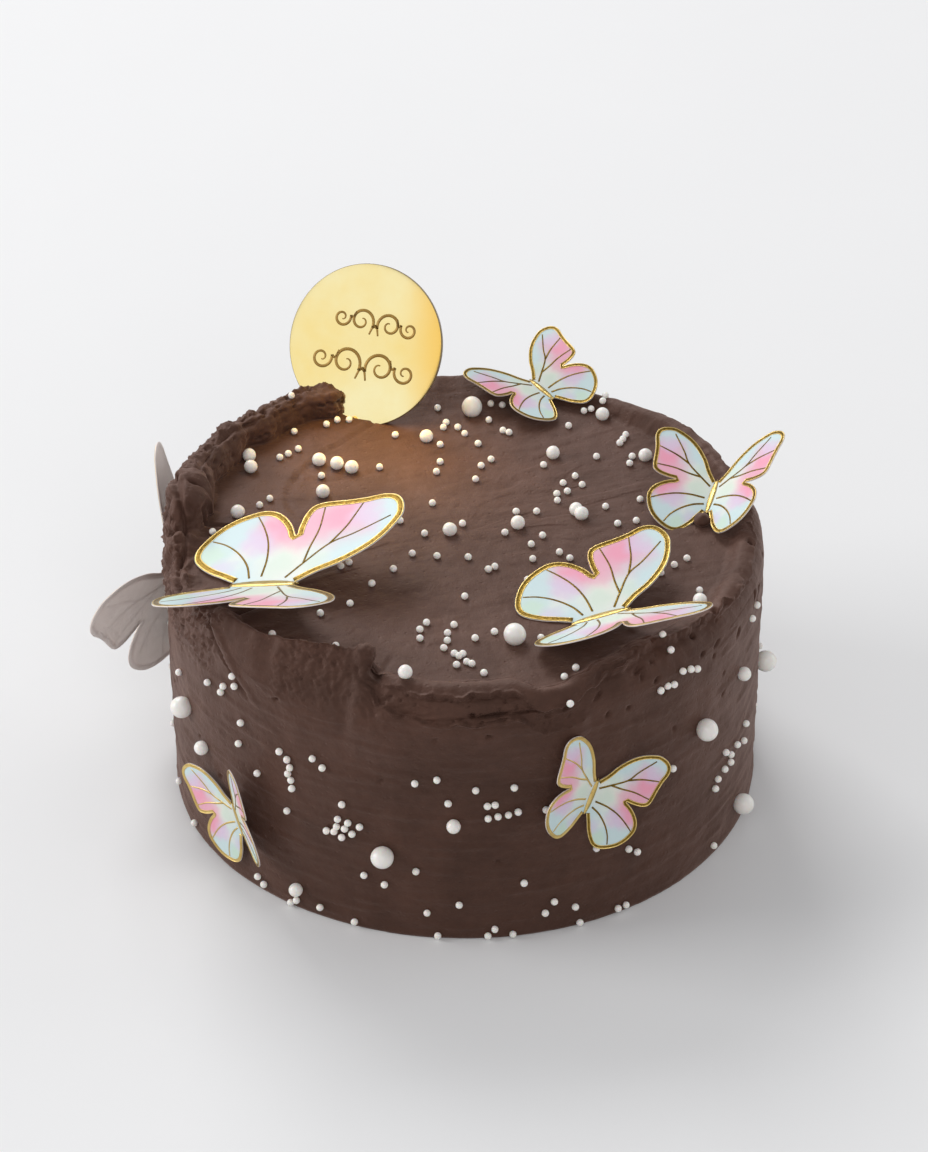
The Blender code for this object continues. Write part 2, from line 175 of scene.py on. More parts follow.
def add_node(tree, kind, inputs=None, **settings):
    """A node with its settings and its inputs."""
    node = tree.nodes.new("ShaderNode" + kind)
    for setting, value in settings.items():
        setattr(node, setting, value)
    return fill(tree, node, inputs or {})


def place_group(tree, group, inputs):
    return add_node(tree, "Group", inputs, node_tree=group)


def mix_colours(tree, part, first, second, blend="MIX"):
    inputs = {0: part, 6: first, 7: second}
    return add_node(tree, "Mix", inputs, data_type="RGBA", blend_type=blend).outputs[2]


def maths(tree, operation, first, second=0.0, clamp=False):
    inputs = {0: first, 1: second}
    return add_node(tree, "Math", inputs, operation=operation, use_clamp=clamp).outputs[0]


def vector_maths(tree, operation, first, second):
    return add_node(tree, "VectorMath", {0: first, 1: second}, operation=operation).outputs["Vector"]


# %% Group: uneven tone
tone_group, given, result = new_group(
    "uneven_tone",
    [("Vector", "Vector", None), ("Light", "Color", (1, 1, 1, 1)), ("Dark", "Color", (0, 0, 0, 1)),
     ("Size", "Float", 100.0), ("Bias", "Float", 0.0)],
    [("Colour", "Color"), ("Mask", "Float")])
given = given.outputs
blotches = add_node(tone_group, "TexNoise", {"Vector": given["Vector"], "Scale": given["Size"], "Detail": 5.0,
                                             "Roughness": 0.62})
biased = maths(tone_group, "ADD", blotches.outputs["Fac"], given["Bias"])
tone_mask = add_node(tone_group, "MapRange", {"Value": biased, "From Min": 0.32, "From Max": 0.68})
tone = mix_colours(tone_group, tone_mask.outputs["Result"], given["Dark"], given["Light"])
fill(tone_group, result, {"Colour": tone, "Mask": tone_mask.outputs["Result"]})

# %% Group: fine grain
grain_group, given, result = new_group(
    "fine_grain", [("Vector", "Vector", None), ("Size", "Float", 800.0), ("Pits", "Float", 0.0)],
    [("Height", "Float")])
given = given.outputs
grains = add_node(grain_group, "TexNoise", {"Vector": given["Vector"], "Scale": given["Size"], "Detail": 6.0,
                                            "Roughness": 0.7})
pit_size = maths(grain_group, "MULTIPLY", given["Size"], 0.5)
cells = add_node(grain_group, "TexVoronoi", {"Vector": given["Vector"], "Scale": pit_size})
pit_depth = add_node(grain_group, "MapRange", {"Value": cells.outputs["Distance"], "From Min": 0.05,
                                               "From Max": 0.22, "To Min": -1.0, "To Max": 0.0})
pits = maths(grain_group, "MULTIPLY", pit_depth.outputs["Result"], given["Pits"])
fill(grain_group, result, {"Height": maths(grain_group, "ADD", grains.outputs["Fac"], pits)})
print("node groups:", sorted(group.name for group in bpy.data.node_groups))

# %% [markdown]
# ### How a finish starts
# Every finish is a Principled shader. What is the same all over a piece is set on the shader's own
# sockets. What changes over it comes from the two groups, at the piece's own measure, so a pattern
# keeps its true size. Most finishes here are one uneven tone with one fine grain, so a helper makes
# those in a line or two.

# %% Finish helpers
def new_finish(name, roughness, **constants):
    """A material with its Principled shader and the coordinate in metres that its patterns use."""
    finish = bpy.data.materials.new(name)
    finish.use_nodes = True
    tree, shader = finish.node_tree, finish.node_tree.nodes["Principled BSDF"]
    even = {label.replace("_", " "): value for label, value in constants.items()}
    fill(tree, shader, {"Roughness": roughness, **even})
    return finish, tree, shader, add_node(tree, "TexCoord").outputs["Object"]


def toned(tree, where, size, light, dark, bias=0.0):
    """Blotches of two colours. A larger size number makes smaller blotches."""
    return place_group(tree, tone_group, {"Vector": where, "Size": size, "Light": (*light, 1),
                                          "Dark": (*dark, 1), "Bias": bias}).outputs


def grained(tree, shader, where, size, pits, strength, depth):
    """Fine grain as a bump on the shader."""
    grain = place_group(tree, grain_group, {"Vector": where, "Size": size, "Pits": pits})
    bump = add_node(tree, "Bump", {"Height": grain.outputs["Height"], "Strength": strength,
                                   "Distance": depth})
    fill(tree, shader, {"Normal": bump.outputs["Normal"]})


def simple_finish(name, roughness, tone, grain=None, **constants):
    """A finish of one uneven tone (size, light, dark, bias) and one grain (size, pits, strength, depth)."""
    finish, tree, shader, where = new_finish(name, roughness, **constants)
    fill(tree, shader, {"Base Color": toned(tree, where, *tone)["Colour"]})
    if grain:
        grained(tree, shader, where, *grain)
    return finish


# %% [markdown]
# ### The floor
# A sheet of white paper, large enough to fill the view. The picture was brightened until the
# paper is white, so the light that it throws back on the cake is weaker than its look says. The
# Light Path node gives it the white look for the camera and a greyer one for everything else.

# %% Floor
PAPER_FOR_LIGHT = (0.75, 0.75, 0.75, 1)
floor_finish, tree, shader, where = new_finish("studio_floor", 0.7)
paper = toned(tree, where, 3.0, (0.875, 0.875, 0.88), (0.86, 0.86, 0.865))["Colour"]
seen = add_node(tree, "LightPath").outputs["Is Camera Ray"]
fill(tree, shader, {"Base Color": mix_colours(tree, seen, PAPER_FOR_LIGHT, paper)})
floor_mesh = bpy.data.meshes.new("floor")
floor_mesh.from_pydata([(-5, -4, 0), (5, -4, 0), (5, 6, 0), (-5, 6, 0)], [], [(0, 1, 2, 3)])
floor_mesh.materials.append(floor_finish)
floor = bpy.data.objects.new("floor", floor_mesh)
floor.location.z = -0.3 * MM
scene.collection.objects.link(floor)
floor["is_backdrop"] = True

# %% [markdown]
# ## The icing
# The icing is a soft skin over a round cake. A baker piles it on, scrapes the wall with a straight
# scraper while the cake turns, and spreads the top with a palette knife, which pushes a ridge up
# at the rim. Here the skin is one grid: columns run round the cake and rows run from the foot, up
# the wall, over the rim and in to the middle. The rim's section changes with the turn, by the same
# named sizes as in the solid, and then the knife's marks are added as small heights.

# %% Measures of the rim, as in the solid
CAKE_RADIUS, TOP_LEVEL = 95.0, 89.0
RIM_CREST = (  # turn about +Z in degrees from +X, height of the crest in mm
    (0, 92), (15, 92.5), (30, 93.5), (46, 93), (60, 92), (74, 92), (90, 92.5), (104, 92), (116, 93.5),
    (121, 96), (131, 97), (149, 98.5), (160, 99), (168, 100.5), (176, 98), (183, 90), (188, 86),
    (192, 85.5), (202, 85.5), (209, 88.5), (216, 95), (230, 95), (242, 96), (249, 96.5), (254, 91.5),
    (262, 90.5), (280, 90.3), (288, 89.5), (294, 90), (306, 90.8), (323, 90.3), (340, 91),
)
RIM_INSET = (  # how far inside the wall the crest runs
    (0, 6), (116, 6), (122, 8), (128, 6), (160, 6), (180, 5), (200, 5), (214, 4), (218, 3.5), (225, 4.5),
    (231, 6.5), (236, 9), (241, 11), (250, 12.5), (257, 8.5), (263, 8.7), (279, 9), (285, 3), (289, 3),
    (293, 5.5), (298, 8), (309, 10), (315, 8.5), (322, 8), (329, 5.5), (340, 6),
)
RIM_DROP = (  # how far below its crest the rim starts to round over
    (0, 9), (216, 9), (221, 10), (226, 13), (232, 18), (238, 22), (247, 22), (256, 14), (262, 11),
    (275, 10), (300, 9),
)
RIM_SHELF = (  # how far the crest runs on inwards at its full height
    (0, 0), (112, 0), (118, 3), (122, 4), (128, 1), (150, 0.6), (162, 1), (168, 2.5), (174, 2), (182, 0),
)
RIM_WIDTH = (  # where the rim has come down to the spread top, inwards from the crest
    (0, 6), (60, 7), (78, 9), (87, 15), (103, 15), (112, 8), (118, 6), (122, 5.5), (128, 3), (150, 2.2),
    (160, 2.4), (168, 4.5), (174, 4), (180, 5), (186, 13), (204, 14), (210, 9), (214, 7), (222, 6),
    (241, 4), (250, 4), (256, 5), (300, 6),
)
RIM_BULGE = (  # 2 rounds the rim like a quarter circle, 1 cuts it straight, more makes it square
    (0, 2.2), (20, 1.9), (120, 1.9), (180, 1.8), (212, 1.8), (220, 1.35), (252, 1.35), (258, 1.7),
    (264, 2.0), (335, 2.2),
)


def round_the_rim(knots, turn):
    """Values that run smoothly from knot to knot round the cake, for an array of turns."""
    turns = np.array([knot[0] for knot in knots] + [knots[0][0] + 360.0])
    values = np.array([knot[1] for knot in knots] + [knots[0][1]], float)
    turn = turn % 360
    before = np.clip(np.searchsorted(turns, turn, side="right") - 1, 0, len(knots) - 1)
    part = (turn - turns[before]) / (turns[before + 1] - turns[before])
    return values[before] + (3 - 2 * part) * part ** 2 * (values[before + 1] - values[before])


# %% [markdown]
# ### Waves for a hand-made surface
# Blender's noise exists in shaders, but here real geometry has to move. This function gives smooth
# random hills at any point of space, so a ring round the cake closes without a seam. Stretching the
# points before the call turns hills into the long strokes of a knife.

# %% Smooth random hills in space
SLOPE_COUNT = 4096
SLOPES = np.random.default_rng(4).normal(size=(SLOPE_COUNT, 3))
SLOPES /= np.linalg.norm(SLOPES, axis=1)[:, None]
SEED_STEP, FAR_AWAY = 7.31, 500.0          # each seed looks at another part of one endless field


def hills(points, size, seed=0):
    """Smooth random heights from about -1 to 1, with hills about one size apart."""
    scaled = points / np.asarray(size, float) + SEED_STEP * seed + FAR_AWAY
    cell = np.floor(scaled).astype(np.int64)
    part = scaled - cell
    ease = part ** 3 * (part * (part * 6 - 15) + 10)
    total = np.zeros(points.shape[:-1])
    for corner in np.ndindex(2, 2, 2):
        place = cell + corner
        pick = (place[..., 0] * 73856093 ^ place[..., 1] * 19349663 ^ place[..., 2] * 83492791) % SLOPE_COUNT
        slope = (SLOPES[pick] * (part - corner)).sum(-1)
        total += slope * np.prod(np.where(np.array(corner) == 1, ease, 1 - ease), axis=-1)
    return 1.7 * total


def eased(part):
    """From 0 to 1 with a smooth start and end."""
    return part * part * (3 - 2 * part)


def rise(value, low, high):
    """0 below low, 1 above high, and a smooth step between."""
    return eased(np.clip((value - low) / (high - low), 0, 1))


def between(turn, first, last, soft):
    """1 between two turns and 0 outside, with soft ends, in degrees."""
    middle, half = (first + last) / 2, (last - first) / 2
    away = np.abs((turn - middle + 180) % 360 - 180)
    return 1 - rise(away, half, half + soft)


# %% [markdown]
# ### The skin before any knife marks
# The section at one turn has five stretches: the wall, the roll over the rim, a short shelf along
# the crest, the slope down inside it, and the spread top. Each is some rows of the grid, placed by
# the rim's measures at that turn. A slow ripple makes the crest and its inset wander as by hand.

# %% The plain grid
COLUMNS, WALL_ROWS, ROLL_ROWS, SHELF_ROWS, SLOPE_ROWS, TOP_ROWS = 900, 94, 54, 4, 22, 66
LEAST_SHELF, LEAST_SLOPE, RIBBON_EXTRA, FAN_RADIUS = 0.3, 1.2, 2.0, 1.0


def parts(rows, first=1):
    return np.linspace(0, 1, rows + 1)[None, first:]


def icing_grid():
    """Turn, distance from the axis and height of every grid point."""
    turn = np.arange(COLUMNS) * 360.0 / COLUMNS
    crest, inset, drop, shelf, width, bulge = (
        round_the_rim(knots, turn)[:, None]
        for knots in (RIM_CREST, RIM_INSET, RIM_DROP, RIM_SHELF, RIM_WIDTH, RIM_BULGE))
    ring = grid_points(turn, CAKE_RADIUS, 0 * turn)
    crest = crest + (0.35 * hills(ring, 9, 1) + 0.2 * hills(ring, 3, 2))[:, None]
    inset = inset + (0.45 * hills(ring, 7, 3) + 0.25 * hills(ring, 2.5, 4))[:, None]
    swell = (1.6 * hills(ring, 10, 57))[:, None]            # the ribbon is thicker here and thinner there
    shoulder, inner, level = crest - drop, CAKE_RADIUS - inset, 0 * crest
    rows = [(CAKE_RADIUS + level * parts(WALL_ROWS, 0), shoulder * parts(WALL_ROWS, 0))]
    angle = parts(ROLL_ROWS) * math.pi / 2
    rows.append((inner + inset * np.cos(angle) ** (2 / bulge),
                 shoulder + drop * np.sin(angle) ** (2 / bulge)))
    rows.append((inner - (shelf + LEAST_SHELF) * parts(SHELF_ROWS), crest + level * parts(SHELF_ROWS)))
    part = parts(SLOPE_ROWS)
    straight = between(turn, 84, 107, 6)[:, None]
    rolled = between(turn, 127, 176, 8)[:, None]            # the ribbon is round on its inner side too
    fall = eased(part) * (1 - straight) + part * straight
    fall = fall * (1 - rolled) + (1 - np.cos(part * math.pi / 2)) * rolled
    reach = part * (1 - rolled) + np.sin(part * math.pi / 2) * rolled
    slope = np.maximum(width - shelf - LEAST_SHELF, LEAST_SLOPE) + (RIBBON_EXTRA + swell) * rolled
    rows.append((inner - shelf - LEAST_SHELF - slope * reach, crest + (TOP_LEVEL - crest) * fall))
    edge = rows[-1][0][:, -1:]
    rows.append((edge + (FAN_RADIUS - edge) * parts(TOP_ROWS), TOP_LEVEL + level * parts(TOP_ROWS)))
    distance, height = (np.concatenate(blocks, axis=1) for blocks in zip(*rows))
    return np.repeat(turn[:, None], distance.shape[1], axis=1), distance, height


def grid_points(turn, distance, height):
    angle = np.radians(turn)
    return np.stack([distance * np.cos(angle), distance * np.sin(angle), height], axis=-1)


def outward(points):
    """The surface's direction at every grid point."""
    round_step = np.roll(points, -1, axis=0) - np.roll(points, 1, axis=0)
    up_step = np.gradient(points, axis=1)
    normal = np.cross(round_step, up_step)
    return normal / np.maximum(np.linalg.norm(normal, axis=-1, keepdims=True), 1e-9)


turn, distance, height = icing_grid()
plain = grid_points(turn, distance, height)
print("icing grid:", plain.shape[:2], "crest from", round(height.max(), 1), "mm down")

# %% [markdown]
# ### Marks of the knife
# The scraper leaves faint level lines on the wall, and the palette knife leaves short slanted
# strokes on the top. Each mark is a small height along the surface, from a tenth of a millimetre
# for a stroke to two millimetres for the torn lip at the front. Marks near the rim follow the rim
# as it rises and sinks, so they are placed by how far they lie below the crest along the skin.

# %% Knife strokes
crest_row = WALL_ROWS + ROLL_ROWS
steps = np.linalg.norm(np.diff(plain, axis=1), axis=-1)
along = np.concatenate([np.zeros((COLUMNS, 1)), np.cumsum(steps, axis=1)], axis=1)
below_crest = along[:, crest_row:crest_row + 1] - along      # below zero on the inner side
on_top = rise(-below_crest, 0.5, 6)
on_wall = rise(below_crest, 2, 12)
x, y, z = plain[..., 0], plain[..., 1], plain[..., 2]

relief = 0.34 * hills(plain, 30, 5) + 0.22 * hills(plain, 11, 6) + 0.13 * hills(plain, 4.5, 7)
relief += 0.05 * hills(plain, 1.9, 44)
relief += on_wall * (0.16 * hills(plain, (17, 17, 1.6), 8) + 0.12 * hills(plain, (9, 9, 2.8), 9))
relief += on_wall * 0.28 * rise(hills(plain, (26, 26, 3.5), 10), 0.30, 0.38)
rings = grid_points(turn, 5.0, distance / 1.7)
relief += on_top * rise(distance, 6, 20) * 0.10 * hills(rings, 1, 11)
slanted = np.stack([x * 0.94 + y * 0.34, y * 0.94 - x * 0.34, z], -1)
relief += on_top * 0.07 * hills(slanted, (13, 1.9, 9), 12)
relief += on_top * 0.16 * rise(hills(slanted, (24, 7, 9), 13), 0.25, 0.31)
print("strokes in mm from", round(float(relief.min()), 2), "to", round(float(relief.max()), 2))

# %% [markdown]
# ### Torn and crumbly places
# Where icing is pulled off the knife it tears. A rolled ribbon of it lies along the left rim,
# crumbly on the outside and streaked on top, and it ends at the back in a thin tongue. At the front
# left a patch is torn into fine upright strokes. Noise folded at its middle has sharp crests, which
# looks torn, where plain noise looks spread.

# %% Torn places
def crumbly(points, size, seed):
    """Sharp-edged lumps, as where icing was torn and not spread."""
    return 1 - 2 * np.abs(hills(points, size, seed))


def specks(size, seed, low, high):
    """Separate spots, about one size apart."""
    return rise(hills(plain, size, seed), low, high)


def zone(turns, depths):
    """1 over one stretch of the rim. Turns are first, last and softness, depths start to end."""
    start, full, fading, end = depths
    return between(turn, *turns) * rise(below_crest, start, full) * (1 - rise(below_crest, fading, end))


ribbon_face = zone((120, 178, 5), (-0.5, 2, 14, 24))
relief += ribbon_face * (0.70 * crumbly(plain, 6.0, 14) + 0.40 * crumbly(plain, 2.4, 15))
crumb_zone = zone((124, 214, 6), (-2, 1, 15, 24))
relief += crumb_zone * (0.7 * specks(1.7, 59, 0.34, 0.55) - 1.0 * specks(1.9, 60, 0.38, 0.58))
left_low = zone((180, 212, 6), (-8, -3, 12, 20))
relief += left_low * (0.60 * crumbly(plain, (6, 6, 5), 16) + 0.22 * crumbly(plain, 2.4, 17))
torn = zone((234, 252, 5), (-3, 1, 14, 22))
fur = np.stack([x + 0.6 * z, y, z - 0.4 * x], -1)
relief += torn * (0.48 * crumbly(fur, (1.3, 5.5, 5.5), 18) + 0.34 * crumbly(plain, 1.9, 19))

arc = np.radians(turn) * CAKE_RADIUS
streaks = np.stack([arc / 19, below_crest / 2.9, 0 * arc], -1)          # along the roll
ribbon_back = zone((120, 178, 5), (-13, -9, 3, 6))
relief += ribbon_back * (0.30 * crumbly(streaks, 1.0, 20) * rise(turn, 122, 127)
                         + 0.9 * hills(plain, (11, 11, 7), 54) + 0.75 * hills(plain, 5.5, 45)
                         + 0.35 * crumbly(plain, (4, 4, 1.6), 51) - 0.9 * specks((3, 3, 1.4), 61, 0.42, 0.6))
tongue = zone((116, 122.5, 1.5), (-14, -9, 3, 6))
relief += tongue * (0.7 * crumbly(plain, (4, 4, 3), 55) + 0.2)
fold_line = 2.5 + 2.2 * hills(np.stack([arc / 18, 0 * arc, 0 * arc], -1), 1.0, 46)
fold = np.exp(-((-below_crest - fold_line) / 0.8) ** 2) * specks(12, 56, -0.25, 0.15)
relief -= ribbon_back * fold * 1.1

# %% [markdown]
# ### The lip at the front
# The icing of the top was pushed a little over the front edge, and ends in a ragged line with
# crumbs along it. Under it runs a rough band, down to a second line where the scraper's smooth wall
# begins. A step at a wandering line makes the edge, and a narrow bump on the same line, broken by
# noise, makes the crumbs.

# %% Ragged edges
def edge_noise(seed, broad, fine):
    """How a ragged line wanders round the cake, one value for each column."""
    line = grid_points(turn[:, 0], CAKE_RADIUS, 0 * turn[:, 0])
    ragged = broad * hills(line, 9, seed) + fine * hills(line, 3.2, seed + 1)
    return (ragged + 0.45 * fine * hills(line, 1.7, seed + 2))[:, None]


def bead(edge, half):
    """Crumbs along a line, which come and go."""
    return crumbs * np.exp(-((below_crest - edge) / half) ** 2)


def ledge(edge, drop, soft=0.35, bead_height=0.3):
    """A step down where the icing ends at a ragged line, with crumbs along the line."""
    return drop * (1 - rise(below_crest, edge, edge + soft)) + bead_height * bead(edge - 0.35, 0.45)


crumbs = 0.35 + 1.3 * specks((5, 5, 2), 58, -0.1, 0.5)

# %% Place the lip and its lines
front = between(turn, 258, 337, 5)
lip_edge = 3.6 + 1.2 * rise(turn, 254, 262) - 2.0 * rise(turn, 296, 310) + edge_noise(21, 1.3, 0.9)
relief += front * ledge(lip_edge, 1.8, 0.3, 0.8) * rise(below_crest, -4, 2.5)
inner_edge = -1.6 + edge_noise(47, 1.8, 0.9)                # an upper layer that ends inside the lip
relief += between(turn, 268, 318, 5) * 0.5 * ledge(inner_edge, 0.5) * rise(below_crest, -9, -5)
second = between(turn, 250, 291, 3)
second_edge = 8.8 + 3.2 * rise(turn, 252, 262) + edge_noise(23, 1.2, 0.8)
below_band = rise(below_crest, second_edge, second_edge + 0.4)
relief += second * (1.3 * below_band + 0.9 * bead(second_edge + 0.4, 0.5)) * (1 - rise(below_crest, 18, 40))
band = second * rise(below_crest, lip_edge, lip_edge + 1) * (1 - below_band)
relief += band * (0.30 * crumbly(plain, (5, 5, 2.2), 52) - 0.7 * specks(1.7, 53, 0.42, 0.6))
right_edge = 3.0 + edge_noise(25, 2.4, 0.8)
relief += between(turn, 300, 400, 14) * ledge(right_edge, 0.75, 0.5) * rise(below_crest, -6, 0)

# %% [markdown]
# ### Single marks
# A few marks stand out enough to be placed one by one, by turn and height. The long slit in the
# front lip, the torn knob at the left and the crease beside it are the clearest. Air bubbles and
# nicks lie anywhere, so they are drawn at random from a fixed seed, and come out alike each time.

# %% Dents, lumps and nicks
MARKS = (  # turn, height, half width, half height, depth (a lump if below zero), tilt in degrees
    (-84.9, 84.6, 4.8, 0.6, 2.4, 5),           # the long slit in the front lip
    (-84.9, 83.5, 5.4, 0.4, -0.7, 5),          # its raised lower edge
    (-79.0, 84.9, 4.5, 0.4, 1.0, 4),           # where the slit runs on as a line
    (-88.6, 84.6, 0.8, 0.7, 2.2, 0),           # the round hole at its left end
    (-85.7, 78.4, 0.9, 0.6, 1.6, 20),
    (-107.6, 93, 1.9, 3.4, 3.2, 0),            # the hollow beside the torn knob
    (-110.8, 96.5, 3.4, 3.0, -1.8, 0),         # the knob itself
    (-109.2, 95.4, 0.9, 0.7, 1.5, 0),
    (-109.0, 92.2, 1.0, 0.9, 1.6, 0),
    (-141.5, 83.0, 16, 0.65, 1.3, -42),        # the crease where the left front folds over
    (-139.5, 83.4, 15, 1.8, -0.8, -42),
    (177, 93, 0.8, 7, 1.6, 8),
)
NICKS = (  # how many, and the lowest and highest of each of the same six values
    (54, (0, 360), (8, 91), (0.5, 1.1), (0.4, 0.7), (0.5, 1.1), (-10, 50)),
    (34, (-66, 20), (77, 92), (0.6, 2.1), (0.45, 0.7), (1.1, 2.2), (10, 60)),
)


def dent(turn_at, height_at, wide, tall, depth, tilt):
    """A hollow in the wall or a lump on it."""
    across = np.radians((turn - turn_at + 180) % 360 - 180) * np.maximum(distance, 20)
    up, lean = height - height_at, math.radians(tilt)
    a, b = across * math.cos(lean) + up * math.sin(lean), up * math.cos(lean) - across * math.sin(lean)
    return -depth * np.exp(-((a / wide) ** 2 + (b / tall) ** 2) ** 2) * rise(distance, 70, 76)


for mark in MARKS:
    relief += dent(*mark)
draw = random.Random(31)
outside = rise(below_crest, 0.3, 1.8)
for count, *ranges in NICKS:
    for _ in range(count):
        relief += outside * dent(*(draw.uniform(*low_high) for low_high in ranges))
print("marks:", len(MARKS), "placed and", sum(nicks[0] for nicks in NICKS), "drawn")

# %% [markdown]
# ### The groove, the crack and the blob
# The knife's last turn left a spiral groove on the top. On the left rim the ribbon is cracked along
# its length, and a thick blob with flat faces lies on it over a dark hollow. The distance to a
# drawn line gives the grooves. A lump cut by straight planes all round gives the blob.

# %% Lines and lumps on the top
SPIRAL = ((111, 77), (116, 71), (125, 67), (134, 66), (142, 64), (150, 63), (157, 62), (163, 60), (168, 57))
CRACK = ((-90.8, 15.0), (-90.2, 7.0), (-88.9, 0.0), (-88.2, -9.0), (-89.6, -18.0), (-88.8, -27.0))
BLOB_FOOT = ((-83.0, 19.0), (-81.2, 12.0), (-83.8, 4.5), (-87.6, -1.0))       # where it meets the top
BLOB_PITS = ((-86.8, 9.5), (-89.3, 17.9), (-89.9, -7.3), (-91.5, -4.0), (-87.5, 2.5))
LUMPS = (  # middle, first way in degrees, how far it reaches each way, how much it stands out
    ((-90.5, -8.0), 20, (3.5, 5.0, 4.0, 3.5, 6.0), 1.4),
    ((-88.5, -22.0), 50, (3.0, 5.0, 3.5, 3.0, 4.5), 1.0),
)


def polar(at, far):
    """A place on the top, from its turn and its distance from the axis."""
    return far * math.cos(math.radians(at)), far * math.sin(math.radians(at))


def distance_to_line(line):
    """How far each grid point lies from a line on the top, and on which side."""
    flat = plain[..., :2]
    best, side = np.full(flat.shape[:2], 1e9), np.zeros(flat.shape[:2])
    for first, last in zip(np.array(line), np.array(line[1:])):
        way, off = last - first, flat - first
        part = np.clip((off @ way) / (way @ way), 0, 1)
        off = off - part[..., None] * way
        away = np.linalg.norm(off, axis=-1)
        side = np.where(away < best, np.sign(way[0] * off[..., 1] - way[1] * off[..., 0]), side)
        best = np.minimum(best, away)
    return best, side


def facet_lump(middle, first_way, extents, depth):
    """A lump with flat faces. Each extent is how far it reaches one way in plan, all round, in mm."""
    away = np.zeros(turn.shape)
    for index, extent in enumerate(extents):
        way = math.radians(first_way + 360 * index / len(extents))
        away = np.maximum(away, ((x - middle[0]) * math.cos(way) + (y - middle[1]) * math.sin(way)) / extent)
    return depth * np.clip(2.2 * (1 - away), 0, 1) * (height > TOP_LEVEL - 9)


groove, side = distance_to_line([polar(*knot) for knot in SPIRAL])
relief += on_top * (-0.6 * np.exp(-(groove / 0.55) ** 2) + 0.35 * np.exp(-(groove / 3.5) ** 2) * (side < 0))
blob = facet_lump((-86.5, 8.5), 30, (7.5, 9.5, 7.5, 7.5, 10.0, 6.0), 1.0)        # its tip points inwards
relief = relief * (1 - 0.85 * blob) + 3.4 * blob
crack, _ = distance_to_line(CRACK)
crack_shape = -1.5 * np.exp(-(crack / 0.7) ** 2) + 0.6 * np.exp(-((crack - 1.6) / 1.2) ** 2)
relief += (height > TOP_LEVEL - 11) * crack_shape
for lump in LUMPS:
    relief += facet_lump(*lump)
foot_line, _ = distance_to_line(BLOB_FOOT)
relief -= 1.3 * np.exp(-(foot_line / 0.8) ** 2) * (height > TOP_LEVEL - 4)
for pit_x, pit_y in BLOB_PITS:
    relief -= 1.7 * np.exp(-(np.hypot(x - pit_x, y - pit_y) / 0.95) ** 4) * (height > TOP_LEVEL - 1)
print("relief in mm from", round(float(relief.min()), 2), "to", round(float(relief.max()), 2))

# %% [markdown]
# ### From the grid to a mesh
# Each grid point moves along the skin's own direction by its relief. The lowest rows keep most of
# their shape, because the cake stands flat on them. A fan of triangles closes the middle of the
# top, and another closes the foot.

# %% Grid to mesh
FOOT_ROWS, FOOT_PART = 3, 0.4
relief[:, :FOOT_ROWS] *= FOOT_PART
shaped = plain + outward(plain) * relief[..., None]
shaped[..., 2] = np.maximum(shaped[..., 2], 0)
shaped[:, 0, 2] = 0


def closed_grid_mesh(name, points):
    """A mesh from the grid, closed by a fan in the middle of the top and one under the foot."""
    columns, rows = points.shape[:2]
    corner = np.arange(columns * rows).reshape(columns, rows)
    after = np.roll(corner, -1, axis=0)
    quads = np.stack([corner[:, :-1], after[:, :-1], after[:, 1:], corner[:, 1:]], -1).reshape(-1, 4)
    middle = float(points[:, -1, 2].mean())
    every = np.concatenate([points.reshape(-1, 3), [[0, 0, middle], [0, 0, 0]]]) * MM
    crown, foot = columns * rows, columns * rows + 1
    faces = [tuple(quad) for quad in quads.tolist()]
    for column in range(columns):
        here, there = corner[column], after[column]
        faces.append((int(here[-1]), int(there[-1]), crown))
        faces.append((int(there[0]), int(here[0]), foot))
    mesh = bpy.data.meshes.new(name)
    mesh.from_pydata(every.tolist(), [], faces)
    mesh.shade_smooth()
    return mesh


def show(name, mesh, *finishes):
    """Puts a mesh into the scene with its finishes."""
    piece = bpy.data.objects.new(name, mesh)
    for index, finish in enumerate(finishes):
        if index < len(mesh.materials):
            mesh.materials[index] = finish
        else:
            mesh.materials.append(finish)
    scene.collection.objects.link(piece)
    return piece


icing_mesh = closed_grid_mesh("icing", shaped)
print("icing faces:", len(icing_mesh.polygons))

# %% [markdown]
# ### The look of chocolate icing
# Icing of butter and cocoa is a dull brown that leans to grey, not to red. Blotches come from
# cocoa that mixed in unevenly and from places the knife pressed smoother. A soft, wide highlight
# comes from the butter. The finest grain is under a tenth of a millimetre, too small for the mesh,
# so it is a bump.

# %% Icing finish
icing_finish, tree, shader, where = new_finish(
    "chocolate_icing", 0.55, Specular_IOR_Level=0.5, Specular_Tint=(1.0, 0.66, 0.56, 1),
    Sheen_Weight=0.30, Sheen_Roughness=0.5, Sheen_Tint=(0.75, 0.48, 0.40, 1))
cocoa = toned(tree, where, 45.0, (0.073, 0.032, 0.021), (0.044, 0.019, 0.012))
fine_cocoa = toned(tree, where, 420.0, (1.0, 1.0, 1.0), (0.80, 0.79, 0.78))
smoothed = add_node(tree, "MapRange", {"Value": cocoa["Mask"], "To Min": 0.62, "To Max": 0.50})
fill(tree, shader, {"Base Color": mix_colours(tree, 1.0, cocoa["Colour"], fine_cocoa["Colour"], "MULTIPLY"),
                    "Roughness": smoothed.outputs["Result"]})
grained(tree, shader, where, 700.0, 0.5, 0.65, 0.00035)

icing = show("icing", icing_mesh, icing_finish)
near_disc.objects.link(icing)
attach(icing, "root")
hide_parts("cake")

# %% [markdown]
# ## The sugar pearls
# The pearls are little sugar balls with a pearly coat, in three sizes, dropped on the top and
# pressed on the wall by hand, so they lie in short strings and small heaps. Their places are set
# down as a turn and a distance or height, and a ray finds the icing under each one. They are real
# balls, pressed in by three tenths of a radius, one joined mesh for each size.

